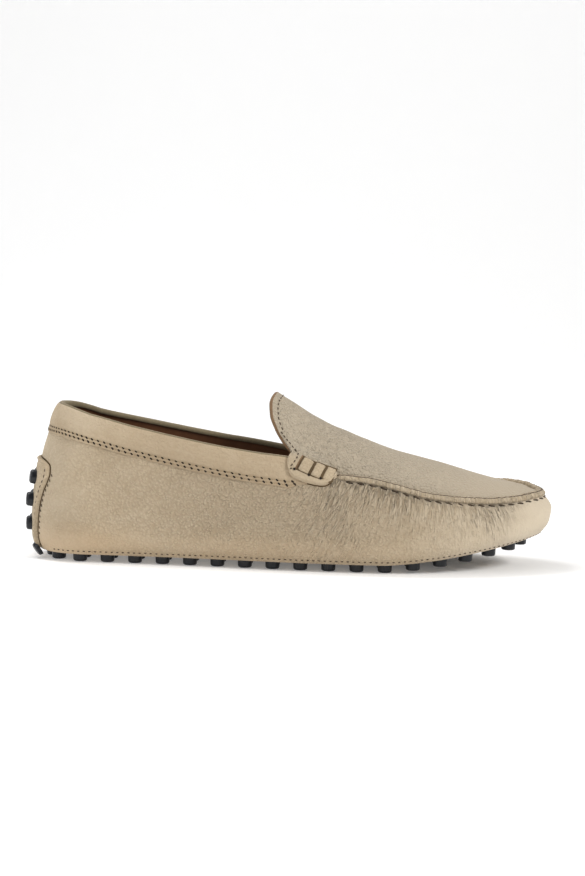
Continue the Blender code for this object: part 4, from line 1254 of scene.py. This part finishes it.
def pebble_places():
    """Plan centres of the pebbles, as the CAD source places them."""
    ring = source_ring()
    loop = bottom_ring(GAP + PEBBLE_MARGIN + PEBBLE_RADIUS, ring)
    closed = np.vstack((loop, loop[:1]))
    runs = lengths(closed)
    count = round(runs[-1] / PEBBLE_PITCH)
    lateral = [i for i, run in enumerate(ring) if run < 0]
    start_x = PEBBLE_START_SHARE * LENGTH
    start = float(np.interp(-start_x, [-loop[i][0] for i in lateral], [runs[i] for i in lateral]))
    places = []
    for k in range(count):
        run = (start + runs[-1] * k / count) % runs[-1]
        places.append(tuple(float(np.interp(run, runs, closed[:, axis])) for axis in (0, 1)))
    edge = list(places)
    rows = math.ceil(LENGTH / PEBBLE_PITCH)
    for i in range(-rows, rows + 1):
        x = start_x + PEBBLE_PITCH * i
        sides = crossings(loop, x)
        if len(sides) != 2:
            continue
        parts = round((sides[1] - sides[0]) / PEBBLE_ROW_PITCH)
        for j in range(1, parts):
            place = (x, sides[0] + (sides[1] - sides[0]) * j / parts)
            if min(math.dist(place, p) for p in edge) > PEBBLE_CLEAR * PEBBLE_PITCH:
                places.append(place)
    return places


def make_sole(places):
    """The leather bottom with a round hole for each stud, and the studs."""
    sides = 24
    turns = 2 * np.pi * (np.arange(sides) + 0.5) / sides
    plan = [tuple(p) for p in bottom_ring(GAP)]
    outlines = [list(range(len(plan)))[::-1]]
    for place in places:
        outlines.append(list(range(len(plan), len(plan) + sides)))
        radius = STUD_RADIUS + 0.0001
        plan += [(place[0] + radius * math.cos(a), place[1] + radius * math.sin(a)) for a in turns]
    cut = delaunay_2d_cdt([Vector(p) for p in plan], [], outlines, 1, 1e-7)
    flat = np.array([(p.x, p.y) for p in cut[0]])
    level = ground(flat[:, 0])
    low = np.column_stack((flat, level))
    high = np.column_stack((flat, level + SOLE_THICKNESS))
    keep = [tuple(face) for face, origins in zip(cut[2], cut[5]) if list(origins) == [0]]
    count = len(flat)
    faces = keep + [tuple(k + count for k in reversed(face)) for face in keep]
    found = {origin: k for k, origins in enumerate(cut[3]) for origin in origins}
    for loop in outlines:
        for a, b in zip(loop, loop[1:] + loop[:1]):
            a, b = found[a], found[b]
            faces.append((a, b, b + count, a + count))
    piece = add_mesh("sole_leather", np.concatenate((low, high)), faces, [NUBUCK_SMALL], "sand_nubuck")
    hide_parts("leather_sole")
    x, y = np.array(places).T
    lift = SOLE_THICKNESS + GAP + SHEET_THICKNESS * 0.5
    bases = np.column_stack((x, y, ground(x) + lift))
    axes = np.tile(np.array((0, 0, -1.0)), (len(bases), 1))
    profile = stud_profile(STUD_RADIUS, STUD_RADIUS * 0.95, PEBBLE_HEIGHT + lift - 0.00016, 0.0011)
    piece = studs("sole_studs", bases, axes, profile)
    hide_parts("pebble_sole")


def make_insole():
    """The brown sock, slightly dished."""
    shares = (1 - np.cos(np.linspace(0.03, np.pi - 0.03, 140))) / 2
    run = run_at(shares)
    tuck = SECTION["tuck"](shares) * BALL_WIDTH

    def side(sign):
        return outline(sign * run) - outward(sign * run) * (0.6 * tuck + WALL * 0.7)[:, None]

    lateral, medial = side(-1), side(1)
    across = np.sin(np.linspace(-1, 1, 41) * np.pi / 2)[:, None]
    plan = (lateral + medial)[:, None, :] / 2 + (medial - lateral)[:, None, :] / 2 * across
    base = ground(plan[..., 0]) + SOLE_THICKNESS + SHEET_THICKNESS + 2 * GAP
    away = np.abs(across[:, 0])
    dish = INSOLE_THICKNESS + 0.0016 * away ** 3 - 0.0008 * (1 - away ** 2)
    high = np.concatenate((plan, (base + dish)[..., None]), axis=-1)
    low = np.concatenate((plan, base[..., None]), axis=-1)
    verts, faces = plate(low, high)
    piece = add_mesh("sock", verts, faces, [LINING], "brown_lining")
    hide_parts("insole")


def make_throat_stitches():
    """Dark stitches along the throat edge that run on over each wing and end in a hook."""
    line, ups = [table[22:-22] for table in throat_line(0.0034)]
    rows_of("throat_stitches", line + ups * 0.00012, ups, 0.0034, 0.0023, 0.00036, *DARK, sink=0.00025)
    along, step = np.array(HOOK).T * MM
    for side, word in SIDES:
        lift = 0.0025 - 0.0020 * ease(0.0034, 0.0066, step)
        points, normal = on_corner(side, WING_START + along, step, lift)
        rows_of(f"wing_stitches_{word}", points, normal, 0.0026, 0.0018, 0.00034, *DARK)


# Build

upper_skin = make_quarter()
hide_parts("upper")
make_lining()
make_band()
make_band_stitches()
make_apron()
make_seam()
make_seam_stitches()
make_bottom_stitches()
for wing in SIDES:
    make_wing(*wing)
    make_bars(*wing)
make_throat_stitches()
make_heel_tab()
make_heel_studs()
make_sole(pebble_places())
make_insole()


# Stage: a pale floor that sweeps up behind and glows with painted light, soft lights, and the camera


def make_stage():
    bend = [(0.9 + 0.9 * math.sin(a), 0.9 - 0.9 * math.cos(a)) for a in np.linspace(0, math.pi / 2, 40)[1:]]
    profile = [(-3.0, 0.0), (0.9, 0.0)] + bend + [(1.8, 4.0)]
    verts = [(x, y, z) for y, z in profile for x in (-4.0, 4.0)]
    faces = [(2 * k, 2 * k + 1, 2 * k + 3, 2 * k + 2) for k in range(len(profile) - 1)]
    mesh = bpy.data.meshes.new("studio_floor")
    mesh.from_pydata(verts, [], faces)
    mesh.shade_smooth()
    material, tree, shader, where = start_material("studio_paper", (0.87, 0.87, 0.87), 0.9)
    tint = blend(tree, noise(tree, where, 3.0, 2.0, 0.5), (0.865, 0.865, 0.868, 1), (0.88, 0.88, 0.88, 1))
    tree.links.new(tint, shader.inputs["Base Color"])
    # Painted light: the paper glows, little under the shoe so that its shadow shows, more farther out so that
    # the backdrop stays white.
    stretch, shift = (1.0, 2.4, 1.0), (-0.125, -0.050, 0.0)
    spot = calc(tree, "MULTIPLY_ADD", where, stretch, shift, kind="ShaderNodeVectorMath")
    away = put(tree, "ShaderNodeVectorMath", {"operation": "LENGTH"}, Vector=spot).outputs["Value"]
    tree.links.new(ramp(tree, away, 0.03, 0.26, 0.03, 0.24), shader.inputs["Emission Strength"])
    shader.inputs["Specular IOR Level"].default_value = 0.1
    shader.inputs["Emission Color"].default_value = (1, 1, 1, 1)
    mesh.materials.append(material)
    floor = bpy.data.objects.new("studio_floor", mesh)
    bpy.context.scene.collection.objects.link(floor)


def area_light(name, at, towards, size, energy, colour):
    light = bpy.data.lights.new(name, "AREA")
    light.shape = "RECTANGLE"
    light.size, light.size_y = size
    light.energy = energy
    light.color = colour
    lamp = bpy.data.objects.new(name, light)
    bpy.context.scene.collection.objects.link(lamp)
    lamp.location = at
    lamp.rotation_euler = (Vector(towards) - Vector(at)).to_track_quat("-Z", "Y").to_euler()


make_stage()
area_light("key", (1.12, -0.78, 1.02), (0.02, 0, 0.03), (0.5, 0.5), 18.5, (1.0, 0.99, 0.97))
area_light("fill", (-1.15, -0.85, 0.62), (-0.05, 0, 0.04), (0.9, 0.9), 7, (0.98, 0.99, 1.0))
area_light("top", (-0.60, 0.30, 1.35), (0, 0.03, 0), (0.7, 0.7), 10, (1.0, 1.0, 1.0))

world = bpy.data.worlds.new("studio")
world.use_nodes = True
world.node_tree.nodes["Background"].inputs["Color"].default_value = (1, 1, 1, 1)
world.node_tree.nodes["Background"].inputs["Strength"].default_value = 0.30
bpy.context.scene.world = world
bpy.context.scene.view_settings.view_transform = "Standard"

CAMERA_AT = Vector((0.0291, -1.0363, 0.1510))
LOOK_AT = Vector((0.0017, 0.0, 0.0682))
ROLL = math.radians(1.3)
FIELD = 2 * math.atan(438 / 1876)

lens = bpy.data.cameras.new("camera")
lens.sensor_fit = "VERTICAL"
lens.sensor_height = 24.0
lens.lens = 12.0 / math.tan(FIELD / 2)
lens.clip_start = 0.01
camera = bpy.data.objects.new("camera", lens)
bpy.context.scene.collection.objects.link(camera)
facing = (LOOK_AT - CAMERA_AT).to_track_quat("-Z", "Y").to_matrix().to_4x4()
camera.matrix_world = Matrix.Translation(CAMERA_AT) @ facing @ Matrix.Rotation(ROLL, 4, "Z")
bpy.context.scene.camera = camera
